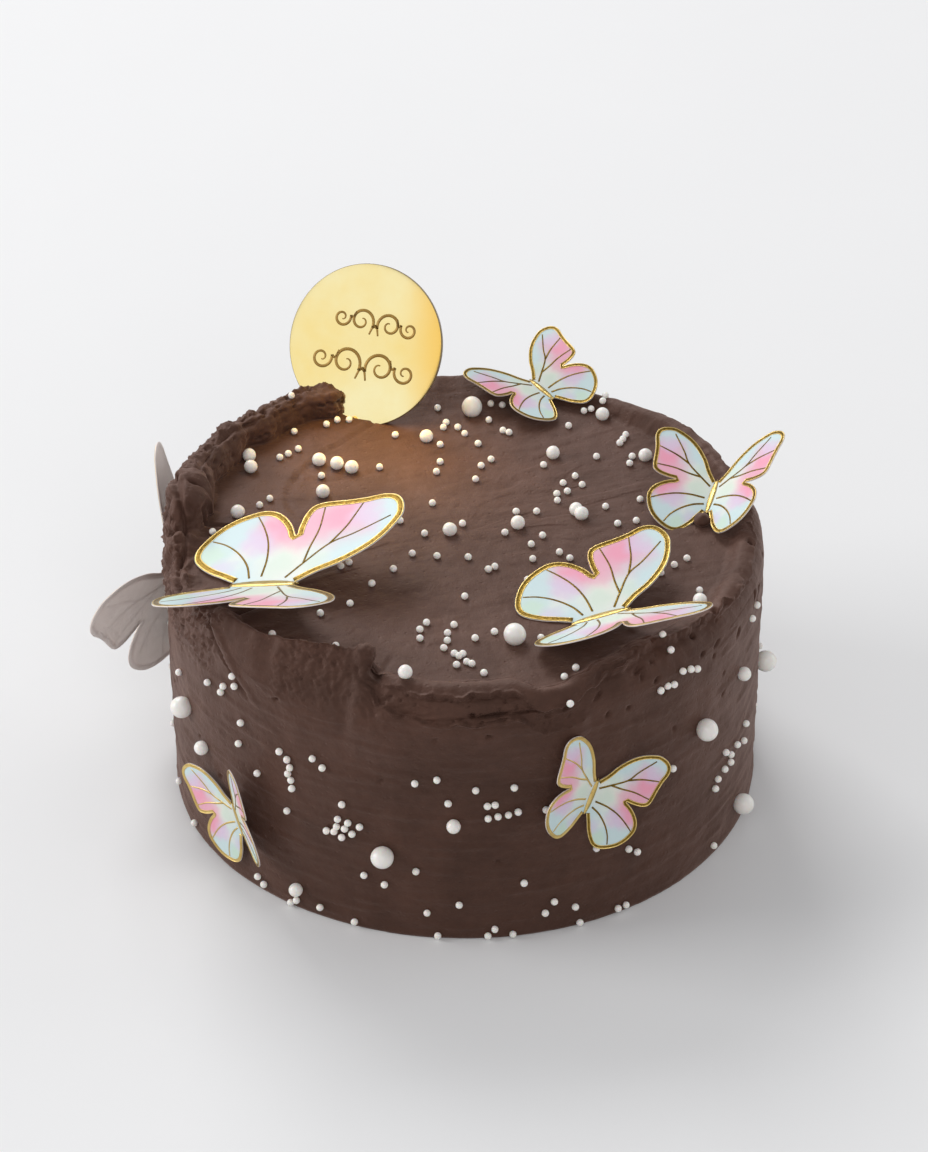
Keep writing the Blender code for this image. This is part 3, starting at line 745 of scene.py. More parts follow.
# %% Where the pearls lie, as in the solid
SMALL, MEDIUM, LARGE, SUNK = 1.15, 2.25, 3.5, 0.30
LARGE_TOP = ((88, 71), (-76, 63))                                   # turn, distance from the axis
LARGE_WALL = (
    (-105, 31), (-157, 47), (-40, 57), (-23, 9), (-5, 44), (38, 22), (74, 61), (112, 14), (141, 72),
)
MEDIUM_TOP = (
    (149, 82), (153, 78), (140, 62), (138, 56), (136, 51), (156, 50), (173, 73), (103, 56), (57, 53),
    (-159, 5), (6, 17), (15, 37), (11, 38), (56, 82), (36, 73), (-30, 84), (-102, 86),
)
MEDIUM_WALL = (
    (-149, 40), (-123, 8), (-92, 45), (-25, 62), (22, 70), (58, 34), (96, 44), (124, 55), (160, 9),
)
TOP_GROUPS = (  # turn, distance, how many, heading of the group in degrees from +X, its length and breadth
    (142, 73, 3, 223, 8, 1), (123, 77, 3, 27, 8, 3), (96, 63, 2, 255, 3, 0), (91, 59, 2, 119, 5, 0),
    (103, 38, 2, 79, 6, 0), (166, 66, 2, 51, 5, 0), (-133, 32, 3, 56, 21, 4), (-151, 43, 2, 42, 3, 0),
    (-118, 79, 2, 51, 2.4, 0), (-103, 58, 3, 79, 9, 2), (-95, 60, 4, 79, 13, 3), (-91, 71, 5, 99, 7, 4),
    (82, 76, 2, -12, 4, 0), (77, 60, 2, -34, 2.4, 0), (80, 40, 2, 48, 5, 0), (59, 86, 5, 37, 8, 5),
    (46, 75, 3, 67, 5, 0), (37, 68, 2, 78, 5, 0), (36, 41, 6, 54, 16, 6), (-32, 25, 2, 92, 8, 0),
    (-26, 35, 2, -45, 5, 0), (-69, 24, 2, 36, 2.4, 0), (4, 52, 2, 17, 6, 0), (-18, 69, 3, 45, 12, 1),
    (-87, 77, 2, -54, 6, 0), (-68, 85, 2, 55, 6, 0), (-47, 90, 2, 133, 3, 0),
)
WALL_GROUPS = (  # turn, height, how many, heading of the group up from level, its length and breadth
    (-139, 73, 4, 60, 13, 4), (-125, 53, 6, -76, 13, 5), (-118, 60, 2, -34, 4, 0), (-113, 38, 9, -6, 10, 8),
    (-124, 2, 2, 44, 3, 0), (-132, 4, 2, -32, 3, 0), (-85, 52, 2, 7, 2.4, 0), (-83, 48, 4, 15, 9, 1),
    (-74, 10, 2, 53, 5, 0), (-59, 2, 2, 2, 3, 0), (-85, 2, 2, 60, 4, 0), (-57, 23, 2, -38, 4, 0),
    (-31, 31, 6, 52, 11, 8), (-24, 34, 2, -26, 8, 0), (-44, 82, 3, -17, 7, 1), (-50, 80, 3, 1, 5, 1),
    (-19, 79, 2, 13, 6, 0), (12, 40, 5, 60, 12, 5), (31, 63, 3, -30, 7, 1), (49, 12, 4, 20, 9, 3),
    (66, 45, 6, 80, 13, 5), (88, 70, 3, 15, 8, 2), (104, 26, 7, -40, 11, 7), (133, 33, 3, 50, 8, 1),
    (151, 18, 4, -15, 9, 3), (178, 11, 2, 30, 4, 0),
)
TOP_SINGLES = (
    (130, 89), (134, 81), (112, 61), (97, 74), (99, 51), (127, 46), (146, 56), (181, 80), (125, 18),
    (168, 21), (103, 3), (-168, 13), (-119, 18), (-86, 16), (-130, 55), (-133, 65), (-90, 38), (-135, 83),
    (-121, 76),
    (83, 66), (85, 51), (83, 29), (61, 71), (45, 61), (56, 46), (16, 47), (30, 19), (23, 25), (-11, 13),
    (-9, 25), (-56, 35), (17, 59), (-26, 81), (-81, 58), (-87, 61), (-69, 65),
)
WALL_SINGLES = (
    (-160, 57), (-146, 68), (-136, 62), (-137, 53), (-132, 46), (-125, 37), (-113, 47), (-99, 60), (-95, 62),
    (-93, 53), (-109, 21), (-105, 19), (-99, 26), (-97, 10), (-91, 14), (-111, 2), (-95, 1), (-118, 4),
    (-155, 3), (-165, 8), (-88, 58), (-81, 58), (-79, 21), (-69, 8), (-68, 1), (-81, 1), (-34, 4), (-48, 48),
    (-65, 29), (-75, 48), (-21, 38), (-71, 87),
)
HIDDEN_SINGLES = 40         # more of them on the half of the wall that faces away

# %% [markdown]
# ### From lists to single places
# Small pearls fall in short rows and heaps, so a group is given once, by its middle, number,
# heading, length and breadth, and its pearls are laid out at random in that shape without touching
# more than pearls do. On the back of the wall each new pearl takes the emptiest of a few random
# places, which gives an even scatter. The wall is laid out flat, as arc length and height.

# %% Lay the pearls out


def spot_apart(draw, taken, low, high, tries=14):
    """The one of several random spots that lies farthest from the spots already taken."""
    best, best_gap = None, -1.0
    for _ in range(tries):
        spot = (draw.uniform(low[0], high[0]), draw.uniform(low[1], high[1]))
        gap = min((math.dist(spot, other) for other in taken), default=1.0)
        if gap > best_gap:
            best, best_gap = spot, gap
    return best


def loose_group(draw, start, count, heading, length, breadth):
    """Spots that lie apart in a short row, or in a heap where the group is nearly as broad as long."""
    heading, spots, tries = math.radians(heading), [], 0
    ahead = Vector((math.cos(heading), math.sin(heading)))
    across = Vector((-ahead.y, ahead.x))
    while len(spots) < count:
        part = (len(spots) + 0.5) / count - 0.5 if breadth < 0.5 * length else draw.uniform(-0.5, 0.5)
        step = part * length * count / max(count - 1, 1) + draw.uniform(-0.3, 0.3)
        spot = start + ahead * step + across * draw.uniform(-0.5, 0.5) * breadth
        tries += 1
        if tries > 40 or all((spot - other).length > 2 * SMALL + 0.02 for other in spots):
            spots.append(spot)
    return [tuple(spot) for spot in spots]


def unrolled(at, up):
    """A place on the wall laid out flat, from its turn and height."""
    return math.radians(at) * CAKE_RADIUS, up


def small_pearl_spots():
    """Flat spots on the top as (x, y), and on the wall as (arc length round the cake, height)."""
    draw = random.Random(11)
    top = [polar(*spot) for spot in TOP_SINGLES]
    wall = [unrolled(*spot) for spot in WALL_SINGLES]
    for at, far, *group in TOP_GROUPS:
        top += loose_group(draw, Vector(polar(at, far)), *group)
    for at, up, *group in WALL_GROUPS:
        wall += loose_group(draw, Vector(unrolled(at, up)), *group)
    for _ in range(HIDDEN_SINGLES):
        wall.append(spot_apart(draw, wall, (0, 1.5), (math.pi * CAKE_RADIUS, 80)))
    return top, wall


# %% Drop each pearl on the icing
ABOVE, OUTSIDE, CLEARANCE = 140, 130, 0.4          # where the rays start, and the gap left round the cards


def tree_of(mesh):
    corners = [vertex.co.copy() for vertex in mesh.vertices]
    return BVHTree.FromPolygons(corners, [tuple(face.vertices) for face in mesh.polygons])


icing_skin = tree_of(icing_mesh)
other_solids = [tree_of(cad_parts[name].data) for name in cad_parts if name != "cake"]


def resting(start, way, radius):
    """Centre and outward direction of a pearl where a ray meets the icing, or None."""
    hit, normal, _, _ = icing_skin.ray_cast(start, way)
    if hit is None:
        return None
    normal = (normal - way).normalized()          # between the skin's own direction and the hand's
    centre = hit + normal * radius * (1 - SUNK) * MM
    room = (radius * 1.05 + CLEARANCE) * MM
    if any((solid.find_nearest(centre)[3] or 1) < room for solid in other_solids):
        return None
    return centre, normal


def on_top_at(x, y, radius):
    return resting(Vector((x, y, ABOVE)) * MM, Vector((0, 0, -1)), radius)


def on_wall_at(arc, up, radius):
    angle = arc / CAKE_RADIUS
    out = Vector((math.cos(angle), math.sin(angle), 0))
    return resting((out * OUTSIDE + Vector((0, 0, max(up, radius + 0.1)))) * MM, -out, radius)


def dropped(radius, top, wall):
    return [on_top_at(*spot, radius) for spot in top] + [on_wall_at(*spot, radius) for spot in wall]


pearls = {SMALL: dropped(SMALL, *small_pearl_spots())}
for radius, top, wall in ((MEDIUM, MEDIUM_TOP, MEDIUM_WALL), (LARGE, LARGE_TOP, LARGE_WALL)):
    pearls[radius] = dropped(radius, [polar(*spot) for spot in top], [unrolled(*spot) for spot in wall])
print("pearls placed:", {radius: sum(1 for place in places if place) for radius, places in pearls.items()})

# %% [markdown]
# ### The look of a sugar pearl
# A pearl is warm white sugar under a thin pearly glaze. The tone wanders a little over each ball,
# some light goes into the sugar, and a weak coat gives the small soft highlight.

# %% Pearl finish
pearl_finish = simple_finish(
    "sugar_pearl", 0.34, tone=(520.0, (0.99, 0.96, 0.91), (0.97, 0.90, 0.83), 0.08),
    grain=(1500.0, 0.3, 0.25, 0.0002), Coat_Weight=0.35, Coat_Roughness=0.18,
    Subsurface_Weight=0.12, Subsurface_Scale=0.001)


# %% Make the pearls
def pearl_shape(radius, fineness):
    """Corner points and faces of one ball."""
    work = bmesh.new()
    bmesh.ops.create_icosphere(work, subdivisions=fineness, radius=1.0)
    corners = np.array([vertex.co[:] for vertex in work.verts])
    faces = np.array([[vertex.index for vertex in face.verts] for face in work.faces])
    work.free()
    return corners * radius, faces


def joined_pearls(name, radius, fineness, seed):
    """One mesh of all pearls of a size. Each is a little out of round, as sugar balls are."""
    corners, faces = pearl_shape(radius, fineness)
    chance = np.random.default_rng(seed)
    every, all_faces = [], []
    for place in pearls[radius]:
        if place is None:
            continue
        centre, normal = place
        stretch = 1 + chance.uniform(-0.035, 0.035, 3)
        uneven = 1 + 0.02 * hills(corners * 3 + chance.uniform(0, 90, 3), radius * 3)[:, None]
        spin = np.array(Matrix.Rotation(chance.uniform(0, 6.28), 3, normal))
        every.append(corners * stretch * uneven @ spin.T * MM + np.array(centre))
        all_faces.append(faces + len(corners) * len(all_faces))
    mesh = bpy.data.meshes.new(name)
    mesh.from_pydata(np.concatenate(every).tolist(), [], np.concatenate(all_faces).tolist())
    mesh.shade_smooth()
    return mesh


for name, radius, fineness in (
        ("pearls_small", SMALL, 3), ("pearls_medium", MEDIUM, 4), ("pearls_large", LARGE, 4)):
    piece = show(name, joined_pearls(name, radius, fineness, 3), pearl_finish)
    near_disc.objects.link(piece)
    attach(piece, "root")
    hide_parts("cake")
    print(name, len(piece.data.polygons), "faces")

# %% [markdown]
# ### The dab
# One butterfly at the right is held by a small dab of the same icing at its tail. It is a ball made
# lumpy by the same hills as the icing, and half sunk in the top.

# %% Dab
DAB_RADIUS, DAB_PLACE = 2.6, (75.6, 3.4, 90.8)
dab_corners, dab_faces = pearl_shape(DAB_RADIUS, 4)
dab_corners = dab_corners * (1.0, 1.05, 0.85) * (1 + 0.10 * hills(dab_corners, 2.2, 3)[:, None])
dab_mesh = bpy.data.meshes.new("icing_dab")
dab_mesh.from_pydata(((dab_corners + DAB_PLACE) * MM).tolist(), [], dab_faces.tolist())
dab_mesh.shade_smooth()
dab = show("icing_dab", dab_mesh, icing_finish)
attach(dab, "root")
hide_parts("cake")

# %% [markdown]
# ## The card butterflies
# Each butterfly is one piece of thin printed card, cut out and folded along the body. Gold foil is
# pressed round the edge and along the veins. The outline is set in body lengths, so that one shape
# serves all seven sizes. The card is a real sheet with a thickness and a slight curl, and the foil
# is a second, raised piece, because its edge catches light.

# %% Wing shape in body lengths
WING = (
    (1.0, 0.0), (1.0, .04), (1.27, .24), (1.6, .43), (1.92, .70), (2.13, .98), (2.26, 1.3), (2.28, 1.5),
    (2.2, 1.72),
    (2.05, 1.85), (1.84, 1.87), (1.6, 1.8), (1.35, 1.75), (1.1, 1.72), (.92, 1.69), (.78, 1.62), (.70, 1.45),
    (.68, 1.2), (.69, 1.02), (.57, 1.22), (.40, 1.41), (.2, 1.54), (0, 1.58), (-.18, 1.55), (-.43, 1.44),
    (-.64, 1.27), (-.80, 1.04), (-.89, .8), (-.87, .6), (-.74, .44), (-.5, .28), (-.28, .18), (-.02, .06),
    (0.0, 0.0),
)
VEINS = (
    ((.80, .14), (1.0, .43), (1.3, .83), (1.63, 1.04), (2.1, 1.4)),
    ((1.3, .83), (1.46, 1.2), (1.57, 1.68)),
    ((1.0, .43), (1.0, .74), (1.03, 1.14), (.98, 1.59)),
    ((.40, .18), (.37, .54), (.27, .89), (.1, 1.2), (-.1, 1.47)),
    ((.21, .15), (.08, .42), (-.15, .68), (-.42, .87), (-.69, .97)),
)
CARD, FOIL = 0.34, 0.07                    # thickness of the card and of the foil in mm
BUTTERFLIES = {  # middle of the body, its direction, both wings' directions, length, both wings' curls
    "large_left": ((-62.2, -36.0, 92.2), (0.91, -0.33, 0.26), (0.28, 0.93, 0.22), (-0.36, -0.86, 0.30), 21.3,
                   0.0, 0.035),
    "large_right": ((41.7, -51.5, 91.0), (0.96, 0.25, 0.15), (-0.28, 0.94, 0.19), (0.17, -0.90, 0.41), 16.9,
                    0.01, 0.015),
    "back_right": ((79.3, 13.9, 92.5), (0.29, 0.91, 0.30), (-0.95, 0.23, 0.20), (0.74, -0.41, 0.53), 12.7,
                   0.01, 0.01),
    "back": ((25.8, 80.6, 92.2), (-0.63, 0.76, 0.16), (0.75, 0.55, 0.36), (-0.75, -0.65, 0.14), 11.1,
             0.01, 0.01),
    "front_right": ((38.4, -88.1, 50.1), (0.36, 0.33, 0.87), (0.93, -0.05, -0.37), (-0.68, -0.54, 0.49), 10.7,
                    0.01, 0.01),
    "front_left": ((-70.9, -65.2, 24.0), (-0.30, 0.36, 0.88), (-0.67, 0.58, -0.46), (0.27, -0.86, 0.44), 10.7,
                   0.01, 0.01),
    "left_wall": ((-93.4, 23.0, 54.0), (-0.17, -0.51, 0.85), (-0.57, -0.65, -0.50), (-0.01, 0.86, 0.51), 19.5,
                  0.01, 0.01),
}


def smooth_line(points, steps):
    """Points along a soft curve through the given ones, which keep their places."""
    points = [np.array(point, float) for point in points]
    whole = [2 * points[0] - points[1]] + points + [2 * points[-1] - points[-2]]
    line = []
    for a, b, c, d in zip(whole, whole[1:], whole[2:], whole[3:]):
        for step in range(steps):
            t = step / steps
            line.append(0.5 * (2 * b + (c - a) * t + (2 * a - 5 * b + 4 * c - d) * t ** 2
                               + (3 * b - a - 3 * c + d) * t ** 3))
    return np.array(line + [points[-1]])


wing_edge = smooth_line(WING[1:-1], 5)
print("wing outline points:", len(wing_edge))


# %% [markdown]
# ### One wing as a net
# The wing is first laid out flat. Points on its outline and a staggered grid of points inside it
# are joined to even triangles, so that the sheet can bend smoothly anywhere.

# %% One wing laid flat as a fine net
BODY_POINTS = 13


def inside(point, outline):
    """Whether a flat point lies inside a closed outline."""
    x, y = point
    odd = False
    for (x1, y1), (x2, y2) in zip(outline, np.roll(outline, -1, axis=0)):
        if (y1 > y) != (y2 > y) and x < (x2 - x1) * (y - y1) / (y2 - y1) + x1:
            odd = not odd
    return odd


def flat_wing(spacing=0.085):
    """Points and triangles of one wing, whose first points lie on the fold."""
    fold = np.stack([np.linspace(0.0, 1.0, BODY_POINTS), np.zeros(BODY_POINTS)], -1)
    outline = np.concatenate([fold, wing_edge])
    inner = []
    for u in np.arange(-0.9, 2.3, spacing):
        for v in np.arange(spacing, 1.9, spacing):
            point = np.array([u + (spacing / 2 if round(v / spacing) % 2 else 0), v])
            near = np.min(np.linalg.norm(outline - point, axis=1))
            if near > spacing * 0.6 and inside(point, outline):
                inner.append(point)
    corners = np.concatenate([outline, inner])
    ring = list(range(len(outline)))
    found = delaunay_2d_cdt([Vector(corner) for corner in corners], [], [ring], 1, 1e-6)
    return np.array([point[:] for point in found[0]]), [tuple(face) for face in found[2]]


wing_net, wing_faces = flat_wing()
print("one wing:", len(wing_net), "points", len(wing_faces), "faces")


# %% [markdown]
# ### From the flat wing to the cake
# A butterfly sits where its body is, points one way and opens its two wings in two more ways. So a
# place on the flat wing goes to its place on the cake by three directions, with a slight curl.

# %% Pose of a butterfly
class Pose:
    """Where one butterfly sits: a flat wing point goes in, and a place in mm comes out."""

    def __init__(self, middle, along, wing_a, wing_b, length, curl_a, curl_b):
        self.middle, self.length = np.array(middle), length
        self.along = np.array(along) / np.linalg.norm(along)
        self.sides = []
        for wing in (np.array(wing_a), np.array(wing_b)):
            across = wing - self.along * (wing @ self.along)
            self.sides.append(across / np.linalg.norm(across))
        open_way = self.sides[0] + self.sides[1]
        self.faces = []
        for side in self.sides:
            face = np.cross(self.along, side)
            self.faces.append(face if face @ open_way > 0 else -face)
        self.curls = (curl_a, curl_b)

    def place(self, flat, wing, lift=0.0):
        """Flat points (n, 2) of wing 0 or 1, lifted off the printed face by some mm."""
        u, v = flat[:, 0:1], flat[:, 1:2]
        rise_up = self.length * self.curls[wing] * v ** 2 + self.length * 0.012 * np.sin(2.2 * u + wing) * v
        return (self.middle + self.along * self.length * (u - 0.5) + self.sides[wing] * self.length * v
                + self.faces[wing] * (rise_up + lift))


poses = {name: Pose(*pose) for name, pose in BUTTERFLIES.items()}


def thicken(mesh, thickness, offset, back_finish=False):
    """Gives a sheet a thickness with the Solidify modifier, and returns the result as a mesh.

    The empty places for finishes come first, because Solidify can only use places that exist.
    """
    for _ in range(2):
        mesh.materials.append(None)
    holder = bpy.data.objects.new("sheet", mesh)
    scene.collection.objects.link(holder)
    shell = holder.modifiers.new("thickness", "SOLIDIFY")
    shell.thickness, shell.offset, shell.use_even_offset = thickness * MM, offset, True
    if back_finish:
        shell.material_offset, shell.material_offset_rim = 1, 1
    bpy.context.view_layer.update()
    solid = bpy.data.meshes.new_from_object(holder.evaluated_get(bpy.context.evaluated_depsgraph_get()))
    bpy.data.objects.remove(holder)
    return solid


def sheet_mesh(name, points, faces, flats, printed_way):
    """A sheet whose faces look the printed way, with each point's flat place kept as a UV."""
    mesh = bpy.data.meshes.new(name)
    points = np.array(points)
    turned = []
    for face, way in zip(faces, printed_way):
        a, b, c = points[list(face[:3])]
        turned.append(face if np.cross(b - a, c - a) @ way > 0 else tuple(reversed(face)))
    mesh.from_pydata((points * MM).tolist(), [], turned)
    layer = mesh.uv_layers.new(name="wing")
    for loop in mesh.loops:
        layer.data[loop.index].uv = flats[loop.vertex_index]
    mesh.shade_smooth()
    return mesh


# %% [markdown]
# ### The print on the wings
# The print is a wash of pastel colours that run into each other: mint at the front edge, lilac and
# blue towards the tip, rose in the middle and cream at the body. A chain of soft spots builds it:
# each step lays one colour round one place of the wing, so that it can be moved by its numbers.
# The wing's own flat measure is the coordinate, so all butterflies share the print at their size.

# %% Group: one soft spot of colour
spot_group, given, result = new_group(
    "colour_spot",
    [("Vector", "Vector", None), ("Under", "Color", (1, 1, 1, 1)), ("Spot", "Color", (1, 1, 1, 1)),
     ("Centre", "Vector", (0, 0, 0)), ("Reach", "Float", 0.5), ("Strength", "Float", 1.0)],
    [("Colour", "Color")])
gap = add_node(spot_group, "VectorMath", {0: given.outputs["Vector"], 1: given.outputs["Centre"]},
               operation="DISTANCE")
ratio = maths(spot_group, "DIVIDE", gap.outputs["Value"], given.outputs["Reach"])
fade = add_node(spot_group, "MapRange", {"Value": ratio, "From Min": 0.15, "From Max": 1.0, "To Min": 1.0,
                                         "To Max": 0.0}, interpolation_type="SMOOTHSTEP")
amount = maths(spot_group, "MULTIPLY", fade.outputs["Result"], given.outputs["Strength"], clamp=True)
spot_group.links.new(mix_colours(spot_group, amount, given.outputs["Under"], given.outputs["Spot"]),
                     result.inputs["Colour"])

# %% Printed card finish
MINT, AQUA, LILAC = (0.62, 0.79, 0.67, 1), (0.63, 0.78, 0.80, 1), (0.76, 0.60, 0.79, 1)
ROSE, CREAM = (0.92, 0.36, 0.50, 1), (0.88, 0.85, 0.76, 1)
PRINT = (  # colour, centre in body lengths, reach, strength
    (CREAM, (0.75, 0.50), 0.85, 0.85), (MINT, (0.62, 0.42), 0.42, 0.55), (AQUA, (1.85, 0.95), 0.75, 0.9),
    (ROSE, (1.25, 1.42), 0.86, 0.95), (LILAC, (1.70, 1.42), 0.42, 0.75), (AQUA, (2.12, 1.70), 0.48, 0.8),
    (ROSE, (0.42, 1.25), 0.72, 0.95), (LILAC, (0.06, 0.90), 0.45, 0.8), (AQUA, (-0.48, 1.15), 0.48, 0.9),
    (ROSE, (0.85, 0.95), 0.40, 0.35), (CREAM, (-0.10, 0.60), 0.35, 0.5),
    (MINT, (-0.65, 0.62), 0.42, 0.9), (LILAC, (-0.36, 0.32), 0.32, 0.5), (MINT, (1.15, 0.42), 0.32, 0.5),
)
card_finish, tree, shader, where = new_finish("printed_card", 0.42, Specular_IOR_Level=0.45)
flat_place = add_node(tree, "UVMap", uv_map="wing").outputs["UV"]
stir = add_node(tree, "TexNoise", {"Vector": flat_place, "Scale": 2.2, "Detail": 2.0}).outputs["Color"]
stir = vector_maths(tree, "SUBTRACT", stir, (0.5, 0.5, 0.5))
stir = vector_maths(tree, "MULTIPLY", stir, (0.5, 0.5, 0.0))
washed = vector_maths(tree, "ADD", flat_place, stir)
colour = AQUA
for spot, centre, reach, strength in PRINT:
    step = place_group(tree, spot_group, {"Vector": washed, "Under": colour, "Spot": spot,
                                          "Centre": (*centre, 0.0), "Reach": reach, "Strength": strength})
    colour = step.outputs["Colour"]
fill(tree, shader, {"Base Color": colour})
grained(tree, shader, where, 900.0, 0.0, 0.08, 0.0002)
print("soft spots in the print:", len(PRINT))

# %% [markdown]
# ### The back of the card
# The back is bare white card; its warm pale tone is painted bounce light from the brown icing. It is
# so thin that some light comes through it, which a little subsurface light gives.

# %% Plain back of the card
# painted bounce: the warm tint of the back stands for light thrown on the white card by the brown icing
back_finish = simple_finish(
    "card_back", 0.6, tone=(160.0, (0.93, 0.81, 0.76), (0.87, 0.75, 0.70)), grain=(1100.0, 0.0, 0.12, 0.0002),
    Subsurface_Weight=0.22, Subsurface_Scale=0.002, Subsurface_Radius=(1.0, 0.95, 0.9))

# %% [markdown]
# ### Gold foil
# Pressed foil is real metal on a card that is not quite flat, so it flashes pale yellow in one place
# and is dark olive in the next. One gold alone came out too even, so there are two copies of one gold:
# a bright one for the raised beads, the body and the wings that flash all over, where a whole wing's
# flash is painted, and a darker one whose colour is painted shade, for the flat of the border and the veins.

# %% Gold finishes
foil_finish = simple_finish("gold_foil", 0.28, tone=(240.0, (0.88, 0.66, 0.26), (0.72, 0.50, 0.16)),
                            grain=(420.0, 0.2, 0.5, 0.0006), Metallic=1.0)
# painted shade: a darker copy of the gold foil, for the flat of the border and the veins
shaded_gold_finish = simple_finish("painted_shade_gold", 0.36, tone=(1100.0, (0.34, 0.21, 0.035), (0.11, 0.065, 0.010)),
                            grain=(1300.0, 0.4, 0.5, 0.0003), Metallic=1.0)

# %% [markdown]
# ### Cut and fold the cards
# Both wings share the points of the fold, so the card is one folded sheet. It gets its thickness
# last, and its back and cut edges take the plain finish.


# %% Cut the cards
def card_mesh(name, pose):
    """Both wings as one folded sheet, then thickened."""
    points = list(pose.place(wing_net, 0))
    flats = [tuple(flat) for flat in wing_net]
    faces, ways = list(wing_faces), [pose.faces[0]] * len(wing_faces)
    twin = {}
    for index, (flat, place) in enumerate(zip(wing_net, pose.place(wing_net, 1))):
        if flat[1] < 1e-6:
            twin[index] = index
        else:
            twin[index] = len(points)
            points.append(place)
            flats.append(tuple(flat))
    for face in wing_faces:
        faces.append(tuple(twin[corner] for corner in face))
        ways.append(pose.faces[1])
    return thicken(sheet_mesh("card_" + name, points, faces, flats, ways), CARD, 0.0, back_finish=True)


# %% [markdown]
# ### Press the foil
# Foil lies on the card as strips: a border with a raised bead at each edge, veins that grow thinner
# outwards, and a ridge along the body. A strip follows a line with rails at set distances beside it.

# %% Foil strips
def ribbon_strip(line, *rails):
    """Flat corner points and faces of a strip whose rails run at given distances beside a line."""
    way = np.gradient(line, axis=0)
    way /= np.maximum(np.linalg.norm(way, axis=1, keepdims=True), 1e-9)
    beside = np.stack([-way[:, 1], way[:, 0]], -1)
    corners = np.concatenate([line + beside * np.broadcast_to(rail, len(line))[:, None] for rail in rails])
    count, quads = len(line), []
    for first in range(0, count * (len(rails) - 1), count):
        quads += [(i, i + 1, count + i + 1, count + i) for i in range(first, first + count - 1)]
    return corners, quads


BORDER = (  # distance in from the edge in body lengths, and height in mm
    (0.006, 0.0), (0.012, 0.09), (0.020, 0.09), (0.026, 0.02), (0.094, 0.02), (0.100, 0.07), (0.107, 0.0),
)
FLAT_RAIL = 3                                              # the flat foil lies between rails 3 and 4
BODY_RISE, BODY_HALF, BODY_FOOT = 0.32, 0.085, 0.03
BRIGHT, SHADED_GOLD = 0, 1                                        # places of the two gold finishes
# painted flash: on these wings the bright gold also covers the flat border and the veins
PAINTED_FLASH_WINGS = {("front_right", 1), ("front_left", 0)}         # wings whose foil flashes all over


def foil_mesh(name, pose):
    """Border, veins and body strip in raised foil."""
    rails, lifts = zip(*BORDER)
    in_rail = len(wing_edge) - 1                           # faces between two rails of the border
    flat_foil = range(FLAT_RAIL * in_rail, (FLAT_RAIL + 1) * in_rail)
    strips = [(*ribbon_strip(wing_edge, *rails), np.repeat(lifts, len(wing_edge))[:, None], flat_foil)]
    for vein in VEINS:
        line = smooth_line(vein, 8)
        taper = np.linspace(1.0, 0.6, len(line)) * np.clip(0.34 / pose.length, 0.016, 0.028)
        corners, quads = ribbon_strip(line, -taper, taper)
        strips.append((corners, quads, 0.0, range(len(quads))))
    points, faces, flats, ways, golds = [], [], [], [], []
    for wing in (0, 1):
        painted_flash = (name, wing) in PAINTED_FLASH_WINGS
        for corners, quads, lift, shaded_faces in strips:
            # painted shade on the flat border and veins, unless the wing's flash is painted bright
            golds += [SHADED_GOLD if index in shaded_faces and not painted_flash else BRIGHT for index in range(len(quads))]
            first = len(points)
            corners = np.maximum(corners, (-9, 0.002))
            points += list(pose.place(corners, wing, CARD / 2 + lift))
            flats += [tuple(corner) for corner in corners]
            faces += [tuple(first + corner for corner in quad) for quad in quads]
            ways += [pose.faces[wing]] * len(quads)
    body = np.linspace(-0.05, 1.08, 19)
    half = BODY_HALF * np.sqrt(np.clip(1 - ((body - 0.5) / 0.58) ** 2, 0, 1)) + 0.004
    first = len(points)
    crease = np.stack([body, 0 * body], -1)
    raised = (pose.faces[0] + pose.faces[1]) / np.linalg.norm(pose.faces[0] + pose.faces[1])
    for wing in (0, 1):
        points += list(pose.place(np.stack([body, half], -1), wing, CARD / 2 + BODY_FOOT))
        flats += [tuple(flat) for flat in crease]
    points += list(pose.place(crease, 0) + raised * (CARD / 2 + BODY_RISE))
    flats += [tuple(flat) for flat in crease]
    for wing in (0, 1):
        side, spine = first + wing * len(body), first + 2 * len(body)
        faces += [(side + i, side + i + 1, spine + i + 1, spine + i) for i in range(len(body) - 1)]
        ways += [pose.faces[wing]] * (len(body) - 1)
        golds += [BRIGHT] * (len(body) - 1)
    sheet = sheet_mesh("foil_" + name, points, faces, flats, ways)
    sheet.polygons.foreach_set("material_index", golds)
    return thicken(sheet, FOIL, 1.0)


for name, pose in poses.items():
    card = show("card_" + name, card_mesh(name, pose), card_finish, back_finish)
    foil = show("foil_" + name, foil_mesh(name, pose), foil_finish, shaded_gold_finish)
    for piece in (card, foil):
        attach(piece, "root")
        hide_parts("butterfly_" + name)
    print("butterfly", name, len(card.data.polygons), "+", len(foil.data.polygons), "faces")

# %% [markdown]
# ## The mirror disc
# The topper is a disc cut by laser from gold mirror acrylic, 54 mm wide and 1.5 mm thick. It leans
# back, so it mirrors the white room above and in front of it, and so looks pale yellow. Its section
# is turned round the disc's axis, with small round edges that catch a line of light.

# %% Disc body
DISC_DIAMETER, DISC_THICKNESS, ROUND_EDGE, DISC_STEPS = 54.0, 1.5, 0.18, 160
DISC_TURN, DISC_LEAN = -22.6, 31.0
disc_place = (Matrix.Translation(disc_middle) @ Matrix.Rotation(math.radians(DISC_TURN), 4, "Z")
              @ Matrix.Rotation(math.radians(90 - DISC_LEAN), 4, "X"))


def disc_section():
    """Radius and height from the middle of one face, round the edge, to the middle of the other."""
    radius, half = DISC_DIAMETER / 2, DISC_THICKNESS / 2
    section = [(radius * part, half) for part in (0, 0.3, 0.6, 0.85)]
    for angle in map(math.radians, (90, 60, 30, 0)):
        section.append((radius + ROUND_EDGE * (math.cos(angle) - 1),
                        half + ROUND_EDGE * (math.sin(angle) - 1)))
    return section + [(r, -z) for r, z in reversed(section)]


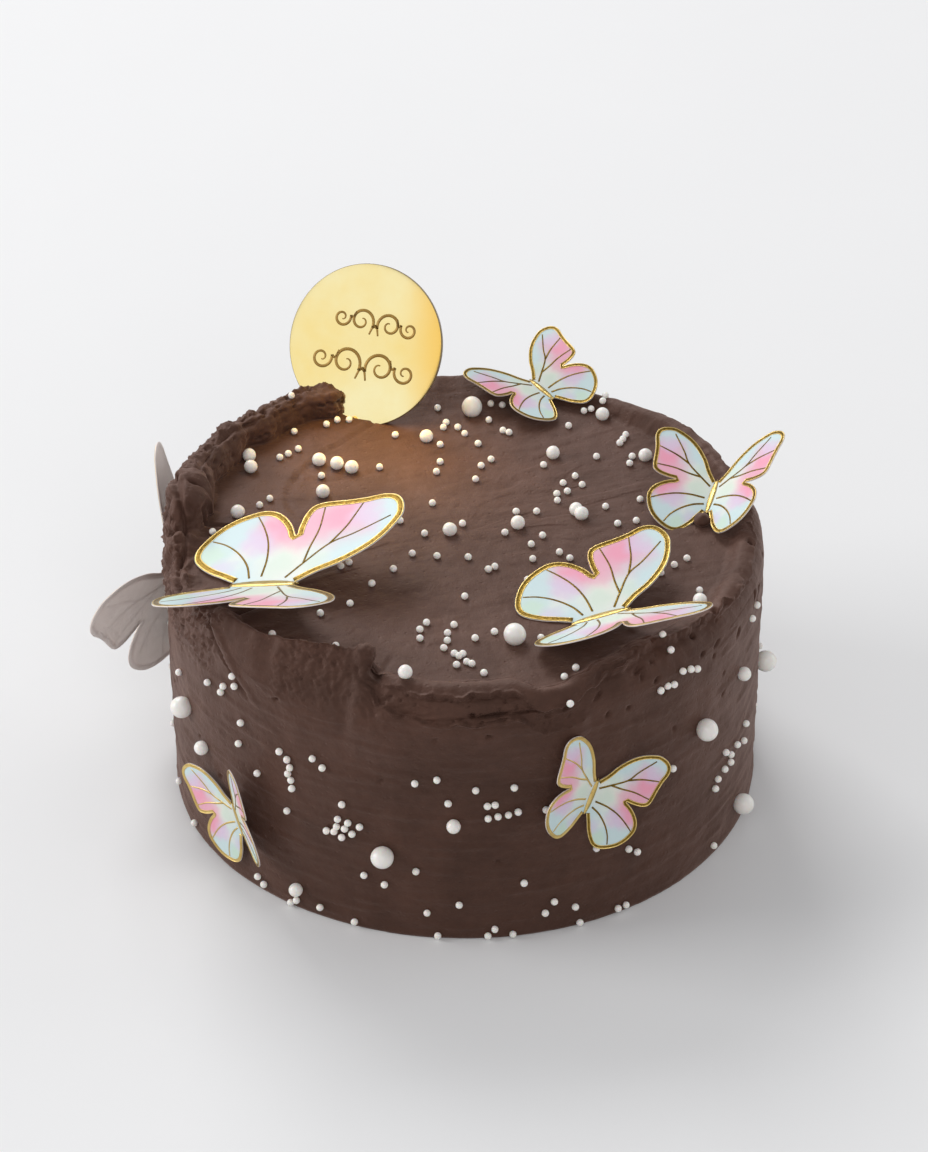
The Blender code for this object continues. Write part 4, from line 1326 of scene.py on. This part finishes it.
def disc_mesh():
    """The section spun about the disc's axis, with the second finish on its edge."""
    work, rings = bmesh.new(), []
    turns = [2 * math.pi * i / DISC_STEPS for i in range(DISC_STEPS)]
    for r, z in disc_section():
        ring = [(r * MM * math.cos(a), r * MM * math.sin(a), z * MM) for a in (turns if r else [0])]
        rings.append([work.verts.new(corner) for corner in ring])
    for upper, lower in zip(rings, rings[1:]):
        for i in range(DISC_STEPS):
            j = (i + 1) % DISC_STEPS
            corners = [ring[k % len(ring)] for ring, k in ((upper, i), (lower, i), (lower, j), (upper, j))]
            face = work.faces.new(tuple(dict.fromkeys(corners)))         # a middle point counts once
            face.smooth = True
            nearest = min(math.hypot(*corner.co[:2]) for corner in face.verts)
            face.material_index = 1 if nearest > (DISC_DIAMETER / 2 - 0.3) * MM else 0
    bmesh.ops.recalc_face_normals(work, faces=work.faces)
    mesh = bpy.data.meshes.new("mirror_disc")
    work.to_mesh(mesh)
    work.free()
    mesh.set_sharp_from_angle(angle=math.radians(40))
    mesh.transform(disc_place)
    return mesh


# %% [markdown]
# ### The look of gold mirror
# Mirror acrylic is a smooth metal with a little haze from fingers. It looks pale on the left and turns
# to deep gold at the right, where it mirrors less of the room; that is painted reflection in its colour.
# The cut edge is clear acrylic over gold, and looks darker.

# %% Mirror and edge finishes
mirror_finish, tree, shader, where = new_finish("gold_mirror", 0.09, Metallic=1.0)
pale = toned(tree, where, 20.0, (0.97, 0.87, 0.50), (0.96, 0.74, 0.27))["Colour"]
across = add_node(tree, "SeparateXYZ", {"Vector": where}).outputs["X"]
# painted reflection: the colour turns deep gold towards +X, where the disc mirrors less of the bright room
painted_reflection_side = add_node(tree, "MapRange", {"Value": across, "From Min": disc_middle.x + 0.010,
                                        "From Max": disc_middle.x + 0.028}, interpolation_type="SMOOTHSTEP")
smudges = place_group(tree, tone_group, {"Vector": where, "Size": 60.0}).outputs["Mask"]
smudged = add_node(tree, "MapRange", {"Value": smudges, "To Min": 0.07, "To Max": 0.16})
fill(tree, shader, {"Base Color": mix_colours(tree, painted_reflection_side.outputs["Result"], pale, (0.98, 0.62, 0.14, 1)),
                    "Roughness": smudged.outputs["Result"]})
edge_finish = simple_finish("disc_edge", 0.25, tone=(150.0, (0.30, 0.21, 0.09), (0.19, 0.13, 0.06)))

disc = show("mirror_disc", disc_mesh(), mirror_finish, edge_finish)
mirrors.objects.link(disc)
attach(disc, "root")
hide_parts("topper_disc")
print("disc", len(disc.data.polygons), "faces")

# %% [markdown]
# ### The ornament on the disc
# Two rows of plain scrolls are engraved in the gold. A scroll is a stem that winds into a spiral,
# and each row mirrors its scrolls about its middle. The strokes are broad in the middle and thin at
# their ends, as drawn with a pen.

# %% The scroll ornament
def scroll(centre, radius, start, turns, shrink=0.18, steps=40):
    """A spiral that winds in to its middle: turns above zero wind to the left."""
    t = np.linspace(0, 1, steps)
    angle = math.radians(start) + 2 * math.pi * turns * t
    reach = radius * (1 - (1 - shrink) * t)
    return np.stack([centre[0] + reach * np.cos(angle), centre[1] + reach * np.sin(angle)], -1)


def scroll_row(middle, scrolls):
    """Mirrored scrolls on both sides of a middle. Each scroll is (place, radius, up or down)."""
    lines = []
    for hand in (1, -1):
        for place, radius, flip in scrolls:
            curl = scroll((0, 0), radius, 200 if flip > 0 else 160, -1.3 * flip)
            stem = smooth_line(((-radius * 1.5, -flip * radius * 0.9),
                                (-radius * 1.25, -flip * radius * 0.2), tuple(curl[0])), 8)
            line = np.concatenate([stem[:-1], curl]) * (hand, 1)
            lines.append((line + (middle[0] + hand * place, middle[1]), 0.30 * radius ** 0.5 + 0.40))
    return lines


def ornament_mesh():
    points, faces = [], []
    rows = scroll_row((2.2, 7.6), ((5.0, 4.4, 1), (12.0, 3.1, -1)))
    rows += scroll_row((0.6, -6.8), ((6.2, 5.4, 1), (15.0, 3.8, -1)))
    for line, thick in rows:
        swell = thick * (0.30 + 0.70 * np.sin(np.linspace(0.15, 1, len(line)) * math.pi * 0.95) ** 1.2)
        corners, quads = ribbon_strip(line, -swell / 2, swell / 2)
        first = len(points)
        points += [(x, y, DISC_THICKNESS / 2 + 0.01) for x, y in corners]
        faces += [tuple(first + corner for corner in quad) for quad in quads]
    flats = [point[:2] for point in points]
    sheet = sheet_mesh("disc_ornament", points, faces, flats, [np.array((0, 0, 1.0))] * len(faces))
    solid = thicken(sheet, 0.05, 1.0)
    solid.transform(disc_place)
    return solid


ornament_finish = simple_finish("engraved_gold", 0.45, tone=(180.0, (0.50, 0.30, 0.06), (0.36, 0.20, 0.04)),
                                Metallic=0.3)
ornament = show("disc_ornament", ornament_mesh(), ornament_finish)
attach(ornament, "root")
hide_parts("topper_disc")
print("ornament", len(ornament.data.polygons), "faces")

# %% [markdown]
# The sizes of both boxes, the solids' and the finer pieces', are printed in mm. The finer pieces
# must stay within the solids' box, apart from a few per cent.

# %% Print both boxes
shown_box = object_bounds()
for label, box in (("solids", cad_box), ("shown", shown_box)):
    print(label, [round((high - low) / MM, 1) for low, high in zip(*box)])
